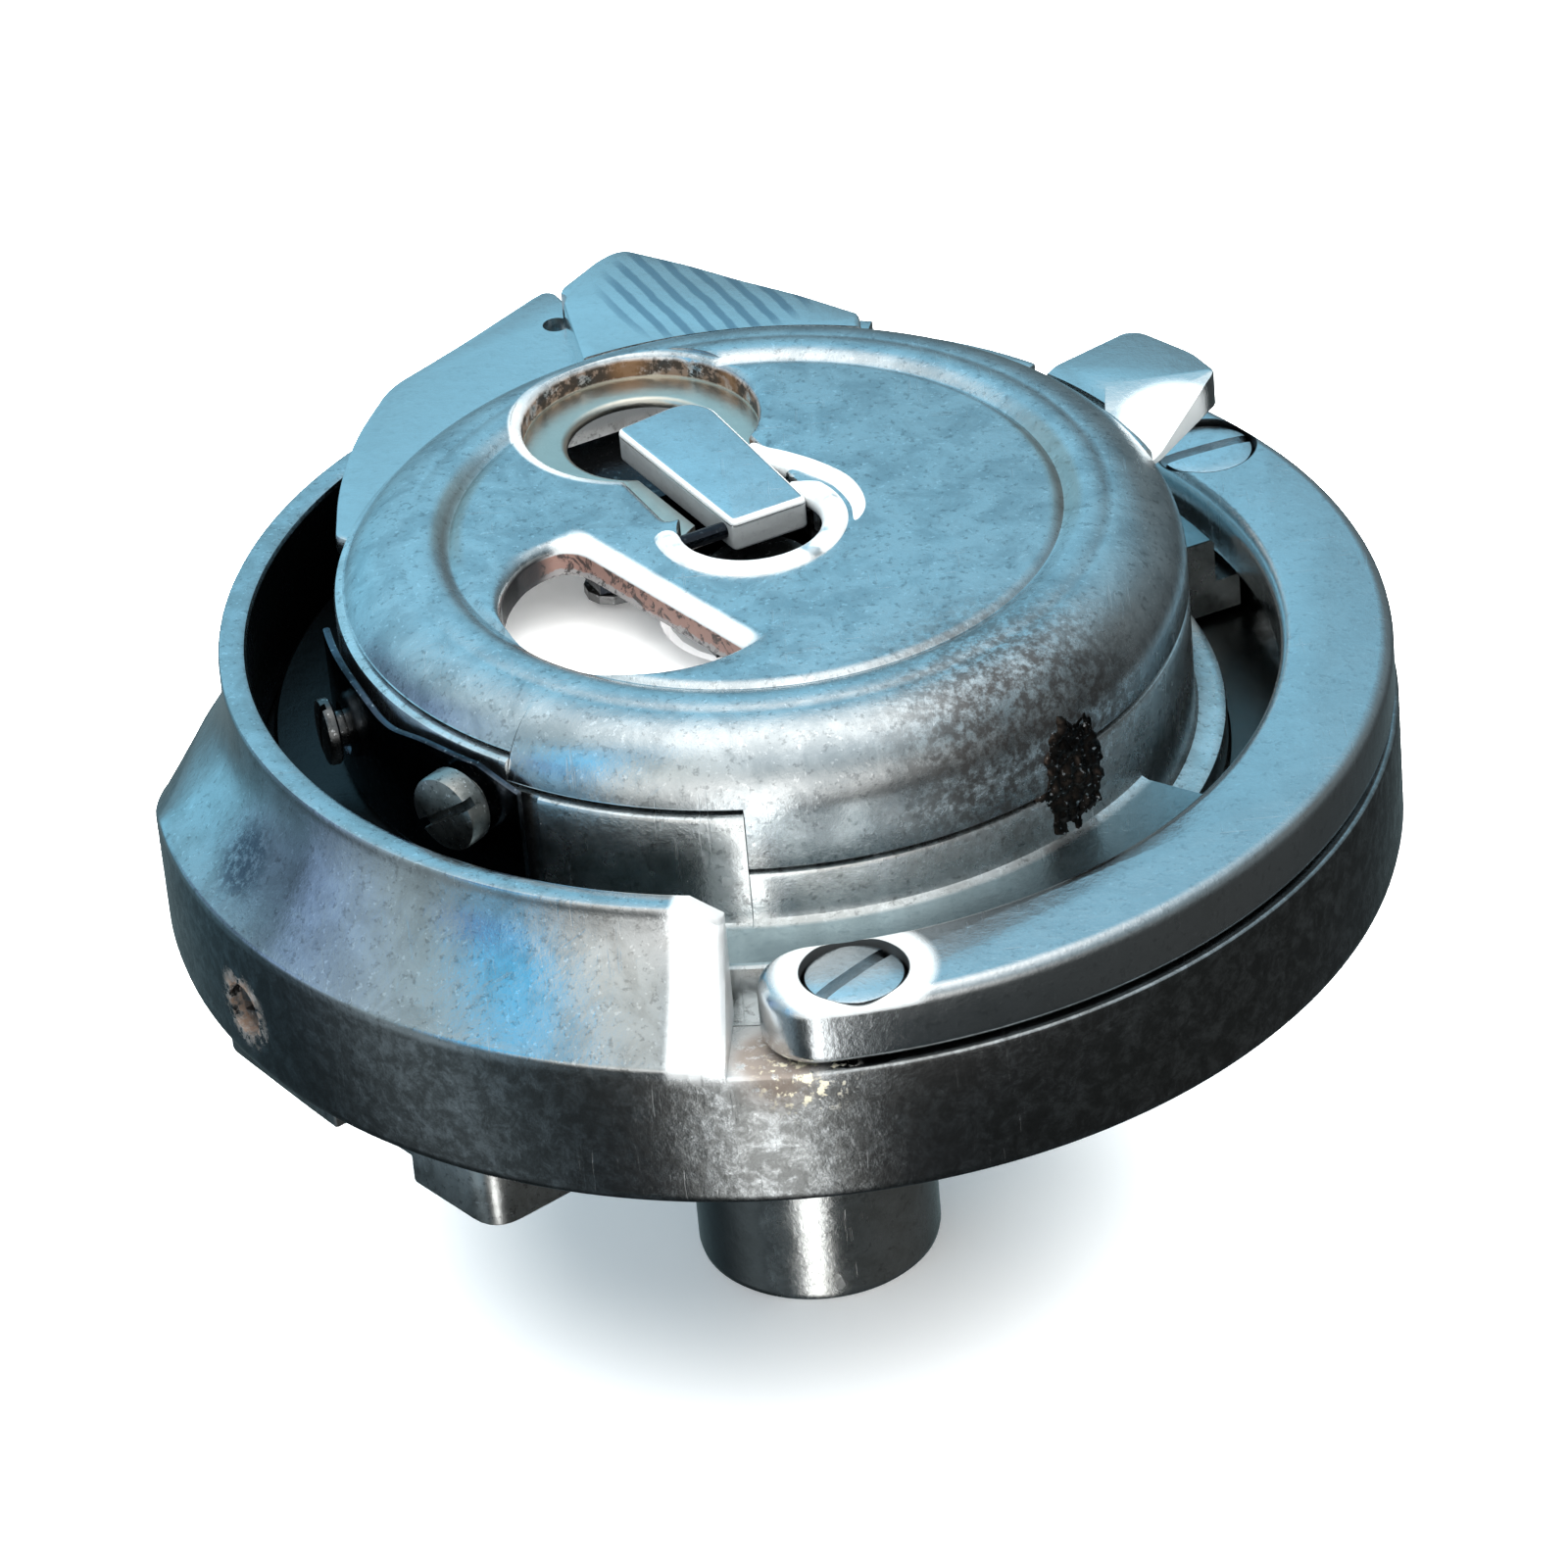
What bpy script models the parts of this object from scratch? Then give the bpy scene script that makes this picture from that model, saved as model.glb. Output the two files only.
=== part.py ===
"""Rotary sewing hook with its bobbin case, on a vertical shaft.

The hook body turns on the shaft with the gib screwed over its race.  The case base hangs in the
race by its rib and holds the bobbin on a centre post.  A latched cap closes the case.
Lengths are in millimetres and angles in degrees, counter-clockwise from +X seen from above.
The origin is the centre of the shaft's lower end face, and +Z runs up the shaft.
"""

import math

import bmesh
import bpy
from mathutils import Matrix, Vector

MM = 0.001
GAP = 0.3                    # clearance between pieces that touch on the real object
STEP_DEG = 7.5               # facet angle of the large round pieces
EDGE_DEG = 0.25              # half the width of a step between two outlines

# Shaft and carrier
SHAFT_R = 4.5
NECK_R = 3.5
BORE_R = NECK_R + GAP
CARRIER_Z = (14.4, 17.3)
CARRIER_AZ = -143.7
CARRIER_HALF = (19.9, 7.85)
CHANNEL = (6.5, -1.0, 3.4)   # inner end, and the two sides across the bar
CHANNEL_DEPTH = 1.1

# Hook body
HOOK_R = 22.2
HOOK_Z = 17.6
HOOK_FLOOR_Z = 18.8
WELL_R = 16.2
RACE_R = 18.95
RACE_Z = 21.0
PARTING_Z = 22.9
RIM_R = (18.3, 19.3)
RIM_Z = 27.8
WALL_AZ = (75.0, 263.0)
CONE = ((20.9, 24.05, 0.55), (20.1, 24.8, 0.45), (19.6, 25.4, 0.3), (19.35, 26.2, 0.1))
CONE_FRONT = ((21.4, 24.1), (20.7, 24.95), (20.1, 25.8), (19.6, 26.7))
CONE_AZ = (190.0, 215.0)     # the hollow band straightens between these azimuths
RIDGE = ((75.0, 18.4), (150.0, 18.4), (160.0, 19.0), (170.0, 20.1), (180.0, 21.6), (190.0, 23.3),
         (263.0, 23.3))
RIDGE_TOP = 23.3
RIM_SLOPE_AZ = 259.5
BEAK = ((78.0, 23.4, 25.8, 19.2), (70.0, 23.5, 25.6, 19.4), (63.0, 23.9, 25.2, 19.4),
        (57.0, 24.4, 24.7, 19.1))
BEAK_IN_R = 18.6
PLUG_AZ = -150.0
PLUG_Z = 20.0
PLUG_R = 0.85

# Gib
GIB_R = (18.1, 22.1)
GIB_Z = (PARTING_Z + GAP, 25.5)
GIB_AZ = (-88.3, 46.5)
GIB_BEVEL = 0.3
GIB_SCREWS = (("gib_screw_front", -84.6, 20.1, 44.0), ("gib_screw_back", 34.3, 20.1, 18.3))
GIB_SINK = (1.84, 24.15)     # radius and floor height of the screws' sinks

# Case base
CASE_R = 15.0
PROUD_R = 15.2
PROUD_AZ = (237.0, 265.0)
CASE_IN_R = 13.3
LIP_R = 13.9
LIP_Z = 29.6
CASE_Z = 19.3
CASE_FLOOR_Z = 20.2
RIB_R = 18.65
RIB_Z = (21.3, 22.6)
FLANGE_R = 17.7
FLANGE_Z = 24.4
CUTAWAY_AZ = (-34.0, 22.0)
CUTAWAY_R = 16.1
CUTAWAY_Z = 22.5
POST_R = 2.0
POST_TOP = 29.3
SHELF_Z = (28.1, 28.9)
POINTED_Z = (28.4, 30.0)
STOP_Z = (28.2, 29.7)
COLLAR_Z = (28.9, 29.6)
LUG_TRIM = (15.15, 29.2)     # radius and height of the room the lugs leave for the cap
NOTCH_C = (-6.7, 18.5)
NOTCH_R = 0.5
FLOOR_HOLES = (30.0, 150.0, 270.0)

# Cap
CAP_R = 15.0
CAP_IN_R = 14.2
CAP_TOP = 31.2
CAP_PLATE = 29.9
SHOULDER = 2.7
GROOVE_R = 10.9
HOLE_R = 2.0
SEAM = ((-95.0, 26.4), (-44.0, 27.5), (18.0, 29.8), (232.0, 28.8))   # start azimuth, edge height
THREAD_AZ = (-52.0, -44.0)
THREAD_Z = (24.95, 28.3)
RING_C = (-0.2, -0.4)
RING_R = (2.6, 3.4)
RING_AZ = (178.0, 419.0)
RING_TOP = 31.45
RECESS_C = (-3.8, 7.6)
RECESS_R = (2.7, 4.25)
RECESS_Z = 30.25
WINDOW_C = (-3.95, -4.3)
WINDOW_R = 5.1
CHORD = 5.4
CHORD_AZ = -143.0

# Latch: s runs from the axis towards the lever's free end, n across it
LATCH_AZ = 114.4
LEVER_SHAPE = ((0.02, -0.9), (8.0, -1.5), (8.3, 0.9), (8.1, 1.6), (7.4, 2.05), (0.02, 2.05))
LEVER_Z = (30.0, 31.3)
POCKET_S = (1.5, 6.5)
POCKET_N = (-2.7, 2.4)
SLOT_SHAPE = ((0.0, -1.25), (7.5, -1.85), (7.5, 2.35), (0.0, 2.35))
PIN_S = 0.65
PIN_Z = 30.65
PIN_R = 0.3
PIN_HALF = 3.0
SLIDE_Z = (29.1, 29.6)
SLIDE_S = (-3.9, 5.5)
SLIDE_HALF = 3.1
SLIDE_TRAVEL = 1.0
KEEPER_Z = (28.4, 28.8)
KEEPER_END = 11.6            # reaches under the latch recess
RIVET_S = 3.6
RIVET_N = 4.1
RIVET_R = 0.6
SPRING_S = (-5.2, -7.7)
SPRING_Z = 29.1
SPRING_R = 0.4
WIRE_R = 0.12
STOP_S = (-8.8, -8.0)

# Bobbin
BOBBIN_R = 13.0
BOBBIN_Z = (21.1, 27.4)
BOBBIN_BORE = 2.5
TUBE_R = 3.4
BARREL_R = 4.6
FLANGE_T = 0.8

# Tension leaf and its screws
LEAF_R = (15.3, 15.55)
LEAF_AZ = (188.0, 235.0)
LEAF_Z = (24.75, 29.6)
TENSION = (226.7, 28.0)      # azimuth, height
FIXING = (195.0, 26.6)

STEEL = ("steel", (0.56, 0.58, 0.60), 0.28, 1.0)
DARK_STEEL = ("dark_steel", (0.30, 0.31, 0.32), 0.42, 1.0)
SPRING_STEEL = ("spring_steel", (0.16, 0.18, 0.22), 0.30, 1.0)
PLASTIC = ("bobbin_white", (0.90, 0.90, 0.88), 0.35, 0.0)


# ---------------------------------------------------------------- helpers

def polar(radius, azimuth):
    """Point in the XY plane at a radius and an azimuth."""
    angle = math.radians(azimuth)
    return radius * math.cos(angle), radius * math.sin(angle)


def latch_point(s, n):
    """Point in the XY plane from the latch's own coordinates."""
    along = polar(s, LATCH_AZ)
    across = polar(n, LATCH_AZ - 90.0)
    return along[0] + across[0], along[1] + across[1]


def circle(radius, centre=(0.0, 0.0), count=24):
    """Points of a full circle."""
    points = (polar(radius, 360.0 * k / count) for k in range(count))
    return [(centre[0] + x, centre[1] + y) for x, y in points]


def arc(radius, start, end, centre=(0.0, 0.0), step=STEP_DEG):
    """Points along an arc, both ends included."""
    count = max(1, round(abs(end - start) / step))
    points = (polar(radius, start + (end - start) * k / count) for k in range(count + 1))
    return [(centre[0] + x, centre[1] + y) for x, y in points]


def in_sector(azimuth, start, end):
    """True where an azimuth lies between start and end, counter-clockwise."""
    return (azimuth - start) % 360.0 < (end - start) % 360.0


def interpolate(table, value):
    """Straight-line interpolation in a table of (position, height) rows."""
    for (x0, y0), (x1, y1) in zip(table, table[1:]):
        if x0 <= value <= x1:
            return y0 + (y1 - y0) * (value - x0) / (x1 - x0)
    return table[-1][1]


def make_material(look):
    """Principled material from a (name, colour, roughness, metallic) tuple."""
    name, colour, roughness, metallic = look
    material = bpy.data.materials.get(name)
    if material is None:
        material = bpy.data.materials.new(name)
        material.use_nodes = True
        shader = material.node_tree.nodes["Principled BSDF"]
        shader.inputs["Base Color"].default_value = (*colour, 1.0)
        shader.inputs["Roughness"].default_value = roughness
        shader.inputs["Metallic"].default_value = metallic
    return material


def finish_mesh(mesh):
    """Smooth shading with sharp corners."""
    mesh.shade_smooth()
    mesh.set_sharp_from_angle(angle=math.radians(30.0))


def make_object(name, bm, look=STEEL):
    """Turn a bmesh in millimetres into a linked object in metres."""
    bmesh.ops.remove_doubles(bm, verts=bm.verts, dist=1e-5)
    bmesh.ops.recalc_face_normals(bm, faces=bm.faces)
    bmesh.ops.scale(bm, vec=(MM, MM, MM), verts=bm.verts)
    mesh = bpy.data.meshes.new(name)
    bm.to_mesh(mesh)
    bm.free()
    mesh.materials.append(make_material(look))
    finish_mesh(mesh)
    obj = bpy.data.objects.new(name, mesh)
    bpy.context.collection.objects.link(obj)
    return obj


def move_origin(obj, point):
    """Put the object's origin at a point in millimetres without moving its mesh."""
    shift = Vector(point) * MM
    obj.data.transform(Matrix.Translation(-shift))
    obj.location = shift
    return obj


def bridge(bm, first, second):
    """Join two rings of vertices with quads."""
    count = len(first)
    for k in range(count):
        bm.faces.new((first[k], first[(k + 1) % count], second[(k + 1) % count], second[k]))


def loft(name, outlines, look=STEEL):
    """Solid through a list of outlines of 3-D points, with both ends capped."""
    bm = bmesh.new()
    rings = [[bm.verts.new(point) for point in outline] for outline in outlines]
    for first, second in zip(rings, rings[1:]):
        bridge(bm, first, second)
    bm.faces.new(rings[0])
    bm.faces.new(rings[-1])
    return make_object(name, bm, look)


def sweep(name, stations, look=STEEL):
    """Closed ring round Z: each station is an azimuth and a closed (radius, z) outline."""
    bm = bmesh.new()
    rings = []
    for azimuth, outline in stations:
        rings.append([bm.verts.new((*polar(r, azimuth), z)) for r, z in outline])
    for k, ring in enumerate(rings):
        bridge(bm, ring, rings[(k + 1) % len(rings)])
    return make_object(name, bm, look)


def make_ring(name, outline, look=STEEL, step=STEP_DEG):
    """Closed ring with the same (radius, z) outline all the way round."""
    count = round(360.0 / step)
    return sweep(name, [(360.0 * k / count, outline) for k in range(count)], look)


def stepped_stations(outline_at, steps):
    """Even stations, plus a close pair at each azimuth where the outline steps."""
    azimuths = set()
    for k in range(round(360.0 / STEP_DEG)):
        azimuth = k * STEP_DEG
        if all(abs((azimuth - step + 180.0) % 360.0 - 180.0) > 1.5 for step in steps):
            azimuths.add(azimuth)
    for step in steps:
        azimuths.add((step - EDGE_DEG) % 360.0)
        azimuths.add((step + EDGE_DEG) % 360.0)
    return [(azimuth, outline_at(azimuth)) for azimuth in sorted(azimuths)]


def turned(name, outline, look=STEEL, count=24, matrix=None):
    """Solid of revolution about Z: the outline starts and ends on the axis."""
    bm = bmesh.new()
    bottom = bm.verts.new((0.0, 0.0, outline[0][1]))
    top = bm.verts.new((0.0, 0.0, outline[-1][1]))
    rings = []
    for radius, z in outline[1:-1]:
        rings.append([bm.verts.new((*polar(radius, 360.0 * k / count), z)) for k in range(count)])
    for first, second in zip(rings, rings[1:]):
        bridge(bm, first, second)
    for k in range(count):
        bm.faces.new((bottom, rings[0][k], rings[0][(k + 1) % count]))
        bm.faces.new((top, rings[-1][k], rings[-1][(k + 1) % count]))
    if matrix is not None:
        bmesh.ops.transform(bm, matrix=matrix, verts=bm.verts)
    return make_object(name, bm, look)


def prism(name, outline, low, high, look=STEEL, matrix=None):
    """Outline in the XY plane extruded from low to high."""
    bm = bmesh.new()
    lower = [bm.verts.new((x, y, low)) for x, y in outline]
    upper = [bm.verts.new((x, y, high)) for x, y in outline]
    bridge(bm, lower, upper)
    bm.faces.new(lower)
    bm.faces.new(upper)
    if matrix is not None:
        bmesh.ops.transform(bm, matrix=matrix, verts=bm.verts)
    return make_object(name, bm, look)


def latch_prism(name, outline, low, high, look=STEEL):
    """Prism from an outline in the latch's (s, n) coordinates."""
    return prism(name, [latch_point(s, n) for s, n in outline], low, high, look)


def latch_box(name, s_range, n_range, z_range, look=STEEL):
    """Box in the latch's coordinates."""
    corners = [(s_range[0], n_range[0]), (s_range[1], n_range[0]),
               (s_range[1], n_range[1]), (s_range[0], n_range[1])]
    return latch_prism(name, corners, *z_range, look)


def radial_matrix(azimuth, z):
    """Turns +Z into the outward direction at an azimuth, at a height."""
    direction = Vector((*polar(1.0, azimuth), 0.0))
    turn = direction.to_track_quat("Z", "Y").to_matrix().to_4x4()
    return Matrix.Translation((0.0, 0.0, z)) @ turn


def pin_matrix():
    """Turns +Z into the latch pin's axis, centred on the axis."""
    turn = radial_matrix(LATCH_AZ - 90.0, PIN_Z)
    return Matrix.Translation((*latch_point(PIN_S, 0.0), 0.0)) @ turn


def rod_cutter(matrix, radius, start, end, count=16):
    """Round cutter along a matrix's +Z."""
    return prism("cutter", circle(radius, count=count), start, end, matrix=matrix)


def hole_cutter(radius, centre, low, high, count=16):
    """Vertical round cutter."""
    return prism("cutter", circle(radius, centre, count), low, high)


def combine(target, tools, operation):
    """Apply one Boolean for each tool and remove the tools."""
    for tool in tools:
        tool.hide_render = True
        tool.display_type = "WIRE"
        modifier = target.modifiers.new("shape", "BOOLEAN")
        modifier.operation = operation
        modifier.solver = "EXACT"
        modifier.object = tool
    graph = bpy.context.evaluated_depsgraph_get()
    mesh = bpy.data.meshes.new_from_object(target.evaluated_get(graph))
    target.modifiers.clear()
    old = target.data
    target.data = mesh
    bpy.data.meshes.remove(old)
    for tool in tools:
        bpy.data.objects.remove(tool)
    mesh.name = target.name
    finish_mesh(mesh)
    return target


def cut(target, *tools):
    return combine(target, tools, "DIFFERENCE")


def join(target, *tools):
    return combine(target, tools, "UNION")


# ---------------------------------------------------------------- hook

def ridge_height(azimuth):
    """Height of the ridge below the conical band: it runs down behind the wall."""
    return interpolate(RIDGE, azimuth % 360.0)


def tall_outline(azimuth):
    """Outside and rim of the tall wall, with its hollow conical band."""
    ridge = ridge_height(azimuth)
    drop = RIDGE_TOP - ridge
    rim = RIM_Z - 0.2 * max(0.0, azimuth % 360.0 - RIM_SLOPE_AZ)
    straight = min(1.0, max(0.0, (azimuth % 360.0 - CONE_AZ[0]) / (CONE_AZ[1] - CONE_AZ[0])))
    band = []
    for (r, z, share), (front_r, front_z) in zip(CONE, CONE_FRONT):
        band.append((r + (front_r - r) * straight, z + (front_z - z) * straight - drop * share))
    return [(HOOK_R, ridge), *band, (RIM_R[1], rim), (RIM_R[0], rim), (RIM_R[0], PARTING_Z)]


def low_outline():
    """Outside and top of the low wall under the gib: the top falls very slightly inwards."""
    radii = (22.05, 21.5, 21.0, 20.5, 20.0, 19.6, 19.1)
    top = [(r, PARTING_Z - 0.01 * k) for k, r in enumerate(radii)]
    return [(HOOK_R, PARTING_Z - 0.15), *top]


def hook_outline(azimuth):
    """Whole (radius, z) outline of the hook body at an azimuth."""
    upper = tall_outline(azimuth) if in_sector(azimuth, *WALL_AZ) else low_outline()
    return [
        (BORE_R, HOOK_Z), (HOOK_R - 0.4, HOOK_Z), (HOOK_R, HOOK_Z + 0.4), *upper,
        (RACE_R, PARTING_Z - 0.15), (RACE_R, RACE_Z), (WELL_R, RACE_Z), (WELL_R, HOOK_FLOOR_Z),
        (BORE_R, HOOK_FLOOR_Z),
    ]


def make_beak():
    """Point at the trailing end of the tall wall."""
    outlines = []
    for azimuth, low, high, outer in BEAK:
        corners = ((BEAK_IN_R, low), (outer, low), (outer, high), (BEAK_IN_R, high))
        outlines.append([(*polar(r, azimuth), z) for r, z in corners])
    return loft("beak", outlines)


def make_hook_body():
    """Rotating cup with the race, the tall wall and the beak."""
    body = sweep("hook_body", stepped_stations(hook_outline, WALL_AZ))
    join(body, make_beak())
    holes = [rod_cutter(radial_matrix(PLUG_AZ, PLUG_Z), PLUG_R + GAP, 19.6, HOOK_R + 1.0)]
    for _, azimuth, radius, _ in GIB_SCREWS:
        holes.append(hole_cutter(1.0, polar(radius, azimuth), 19.4, PARTING_Z + 1.0))
    return cut(body, *holes)


def make_carrier():
    """Milled cross bar under the hook, with a channel in its lower face."""
    turn = Matrix.Rotation(math.radians(CARRIER_AZ), 4, "Z")
    length, half = CARRIER_HALF
    outline = [(-length, -half), (length - 0.35, -half), (length, -half * 0.4), (length, half * 0.4),
               (length - 0.35, half), (-length, half)]
    bar = prism("hook_carrier", outline, *CARRIER_Z, DARK_STEEL, turn)
    start, low, high = CHANNEL
    groove = [(start, low), (length + 1.0, low), (length + 1.0, high), (start, high)]
    channel = prism("cutter", groove, CARRIER_Z[0] - 1.0, CARRIER_Z[0] + CHANNEL_DEPTH, matrix=turn)
    return cut(bar, channel, hole_cutter(BORE_R, (0.0, 0.0), CARRIER_Z[0] - 1.0, CARRIER_Z[1] + 1.0, 32))


def make_shaft():
    """Solid journal with a neck up through the carrier and the hook floor."""
    shoulder = CARRIER_Z[0] - GAP
    outline = [
        (0.0, 0.0), (SHAFT_R - 0.3, 0.0), (SHAFT_R, 0.3), (SHAFT_R, shoulder),
        (NECK_R, shoulder), (NECK_R, HOOK_FLOOR_Z - 0.2), (NECK_R - 0.2, HOOK_FLOOR_Z), (0.0, HOOK_FLOOR_Z),
    ]
    return turned("hook_shaft", outline, STEEL, 32)


def make_gib():
    """Retaining crescent with round ends, screwed over the race."""
    inner, outer = GIB_R
    middle = (inner + outer) / 2.0
    half = (outer - inner) / 2.0
    start, end = GIB_AZ
    outline = arc(outer, start, end)
    outline += arc(half, end, end + 180.0, polar(middle, end), 30.0)[1:-1]
    outline += arc(inner, end, start)
    outline += arc(half, start + 180.0, start + 360.0, polar(middle, start), 30.0)[1:-1]
    gib = prism("hook_gib", outline, *GIB_Z)
    bevel = gib.modifiers.new("edge", "BEVEL")
    bevel.width = GIB_BEVEL * MM
    bevel.segments = 1
    bevel.limit_method = "ANGLE"
    bevel.angle_limit = math.radians(60.0)
    join(gib)
    holes = []
    for _, azimuth, radius, _ in GIB_SCREWS:
        centre = polar(radius, azimuth)
        holes.append(hole_cutter(1.05, centre, GIB_Z[0] - 1.0, GIB_Z[1] + 1.0))
        holes.append(hole_cutter(GIB_SINK[0], centre, GIB_SINK[1], GIB_Z[1] + 1.0, 20))
    return cut(gib, *holes)


def make_slotted_screw(name, matrix, radii, shank, head, slot, look=STEEL):
    """Slotted screw along the matrix's +Z, with (low, high) spans and (width, depth, turn) for the slot."""
    shank_r, head_r = radii
    outline = [
        (0.0, shank[0]), (shank_r - 0.15, shank[0]), (shank_r, shank[0] + 0.15), (shank_r, shank[1]),
        (head_r, head[0]), (head_r, head[1] - 0.12), (head_r - 0.12, head[1]), (0.0, head[1]),
    ]
    screw = turned(name, outline, look, 16, matrix)
    width, depth, angle = slot
    reach = head_r + 1.0
    half = width / 2.0
    box = [(-reach, -half), (reach, -half), (reach, half), (-reach, half)]
    spin = matrix @ Matrix.Rotation(math.radians(angle), 4, "Z")
    return cut(screw, prism("cutter", box, head[1] - depth, head[1] + 1.0, matrix=spin))


def make_gib_screws():
    """Two slotted screws sunk in the gib."""
    for name, azimuth, radius, slot in GIB_SCREWS:
        place = Matrix.Translation((*polar(radius, azimuth), 0.0))
        make_slotted_screw(name, place, (0.7, 1.54), (19.8, 24.45), (24.45, 25.4), (0.45, 0.5, slot))


def make_plug():
    """Short slotted plug in the hook wall."""
    place = radial_matrix(PLUG_AZ, PLUG_Z)
    make_slotted_screw("hook_plug_screw", place, (PLUG_R - 0.2, PLUG_R), (19.9, 20.4), (20.4, 21.9),
                       (0.35, 0.5, 25.0), DARK_STEEL)


# ---------------------------------------------------------------- case

def seam_height(azimuth):
    """Height of the cap's lower edge at an azimuth."""
    for (start, height), (end, _) in zip(SEAM, SEAM[1:] + SEAM[:1]):
        if in_sector(azimuth, start, end):
            return height
    return SEAM[0][1]


def case_outline(azimuth):
    """Whole (radius, z) outline of the case base at an azimuth."""
    outer = PROUD_R if in_sector(azimuth, *PROUD_AZ) else CASE_R
    top = seam_height(azimuth) - GAP
    lip = LIP_Z
    if in_sector(azimuth, *THREAD_AZ):
        top = THREAD_Z[0]
        lip = top
    flange = [(RIB_R, RIB_Z[0]), (RIB_R, RIB_Z[1]), (FLANGE_R, RIB_Z[1]), (FLANGE_R, FLANGE_Z),
              (outer + 0.3, FLANGE_Z), (outer, FLANGE_Z + 0.3)]
    if in_sector(azimuth, *CUTAWAY_AZ):
        flange = [(CUTAWAY_R, RIB_Z[0]), (CUTAWAY_R, CUTAWAY_Z - 0.15), (CUTAWAY_R - 0.15, CUTAWAY_Z),
                  (outer + 0.6, CUTAWAY_Z + 0.02), (outer + 0.3, CUTAWAY_Z + 0.05), (outer, CUTAWAY_Z + 0.3)]
    return [
        (POST_R + GAP, CASE_Z), (CASE_R - 0.3, CASE_Z), (CASE_R, CASE_Z + 0.3), (CASE_R, RIB_Z[0]), *flange,
        (outer, top - 0.15), (outer - 0.15, top), (LIP_R + 0.1, top), (LIP_R, lip), (CASE_IN_R, lip),
        (CASE_IN_R, CASE_FLOOR_Z), (POST_R + GAP, CASE_FLOOR_Z),
    ]


def trim_lug(lug):
    """Keep a lug clear of the cap's shoulder."""
    radius, low = LUG_TRIM
    return cut(lug, hole_cutter(radius, (0.0, 0.0), low, low + 3.0, 60))


def make_shelf_lug():
    """Flat shelf on one side of the positioning notch."""
    outline = [
        (-14.2, 4.4), (-15.0, 5.0), (-14.9, 8.0), (-14.3, 11.6), (-12.95, 15.1), (-11.6, 16.4), (-10.0, 18.0),
        (-7.5, 20.7), (-7.1, 21.05), (-6.7, 20.9), (-6.4, 20.3), (-5.8, 18.3), (-4.6, 13.5),
    ]
    return prism("lug", outline + arc(14.2, 110.0, 160.0), *SHELF_Z)


def make_pointed_lug():
    """Pointed lug on the other side: its left face stops the case against the positioning finger."""
    outline = [(-5.6, 13.0), (-6.3, 17.9), (-6.45, 19.2), (-5.0, 21.1), (-4.4, 21.6), (-3.9, 21.7),
               (-1.7, 20.25), (0.3, 18.7), (2.3, 17.3), (4.45, 15.5), (4.5, 13.6), (0.0, 14.2)]
    return trim_lug(prism("lug", outline, *POINTED_Z))


def make_stop_lug():
    """Short finger at the back right."""
    outline = [(13.3, 4.9), (14.6, 6.0), (16.7, 9.2), (17.0, 9.6), (16.3, 11.0), (14.6, 12.8),
               (14.0, 12.9), (11.3, 11.0), (10.4, 9.7), (12.2, 7.4)]
    return trim_lug(prism("lug", outline, *STOP_Z))


def make_collar():
    """Low ledge between the stop finger and the pointed lug."""
    outline = arc(15.6, 47.0, 71.0) + arc(14.2, 71.0, 47.0)
    return trim_lug(prism("lug", outline, *COLLAR_Z))


def make_case_base():
    """Stationary case with the rib that runs in the hook's race."""
    steps = [start for start, _ in SEAM if start != THREAD_AZ[1]]
    steps += [*THREAD_AZ, *CUTAWAY_AZ, PROUD_AZ[0]]
    base = sweep("case_base", stepped_stations(case_outline, steps), DARK_STEEL)
    join(base, make_shelf_lug(), make_pointed_lug(), make_stop_lug(), make_collar())
    holes = [hole_cutter(NOTCH_R, NOTCH_C, 27.0, POINTED_Z[1] + 1.0, 12)]
    for azimuth, z in (TENSION, FIXING):
        holes.append(rod_cutter(radial_matrix(azimuth, z), 0.95, 12.8, 16.4))
    for azimuth in FLOOR_HOLES:
        holes.append(hole_cutter(2.2, polar(9.8, azimuth), CASE_Z - 1.0, CASE_FLOOR_Z + 0.5))
    return cut(base, *holes)


def make_post():
    """Centre post with a groove for the latch."""
    outline = [
        (0.0, CASE_Z), (POST_R, CASE_Z), (POST_R, 28.1), (1.5, 28.3), (1.5, 28.8),
        (POST_R, 28.9), (POST_R, POST_TOP - 0.2), (POST_R - 0.2, POST_TOP), (0.0, POST_TOP),
    ]
    return turned("centre_post", outline, STEEL, 24)


def make_brake_spring():
    """Thin washer that keeps the bobbin from overrunning."""
    low = CASE_FLOOR_Z + GAP
    outline = [(4.4, low), (7.0, low), (7.0, low + 0.3), (4.4, low + 0.3)]
    return make_ring("bobbin_brake_spring", outline, SPRING_STEEL, 12.0)


def leaf_top(azimuth):
    """The leaf's upper edge dips beside the screw and falls away at its tip."""
    dip = 0.45 * math.exp(-(((azimuth - 211.0) / 6.0) ** 2))
    fall = 0.11 * max(0.0, azimuth - 229.0)
    return LEAF_Z[1] - dip - fall


def make_tension_spring():
    """Leaf spring bent round the left of the case."""
    start, end = LEAF_AZ
    inner, outer = LEAF_R
    outlines = []
    for k in range(17):
        azimuth = start + (end - start) * k / 16.0
        top = leaf_top(azimuth)
        corners = ((inner, LEAF_Z[0]), (outer, LEAF_Z[0]), (outer, top), (inner, top))
        outlines.append([(*polar(r, azimuth), z) for r, z in corners])
    leaf = loft("tension_spring", outlines, SPRING_STEEL)
    holes = [rod_cutter(radial_matrix(azimuth, z), 0.95, 14.8, 16.5) for azimuth, z in (TENSION, FIXING)]
    return cut(leaf, *holes)


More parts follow.
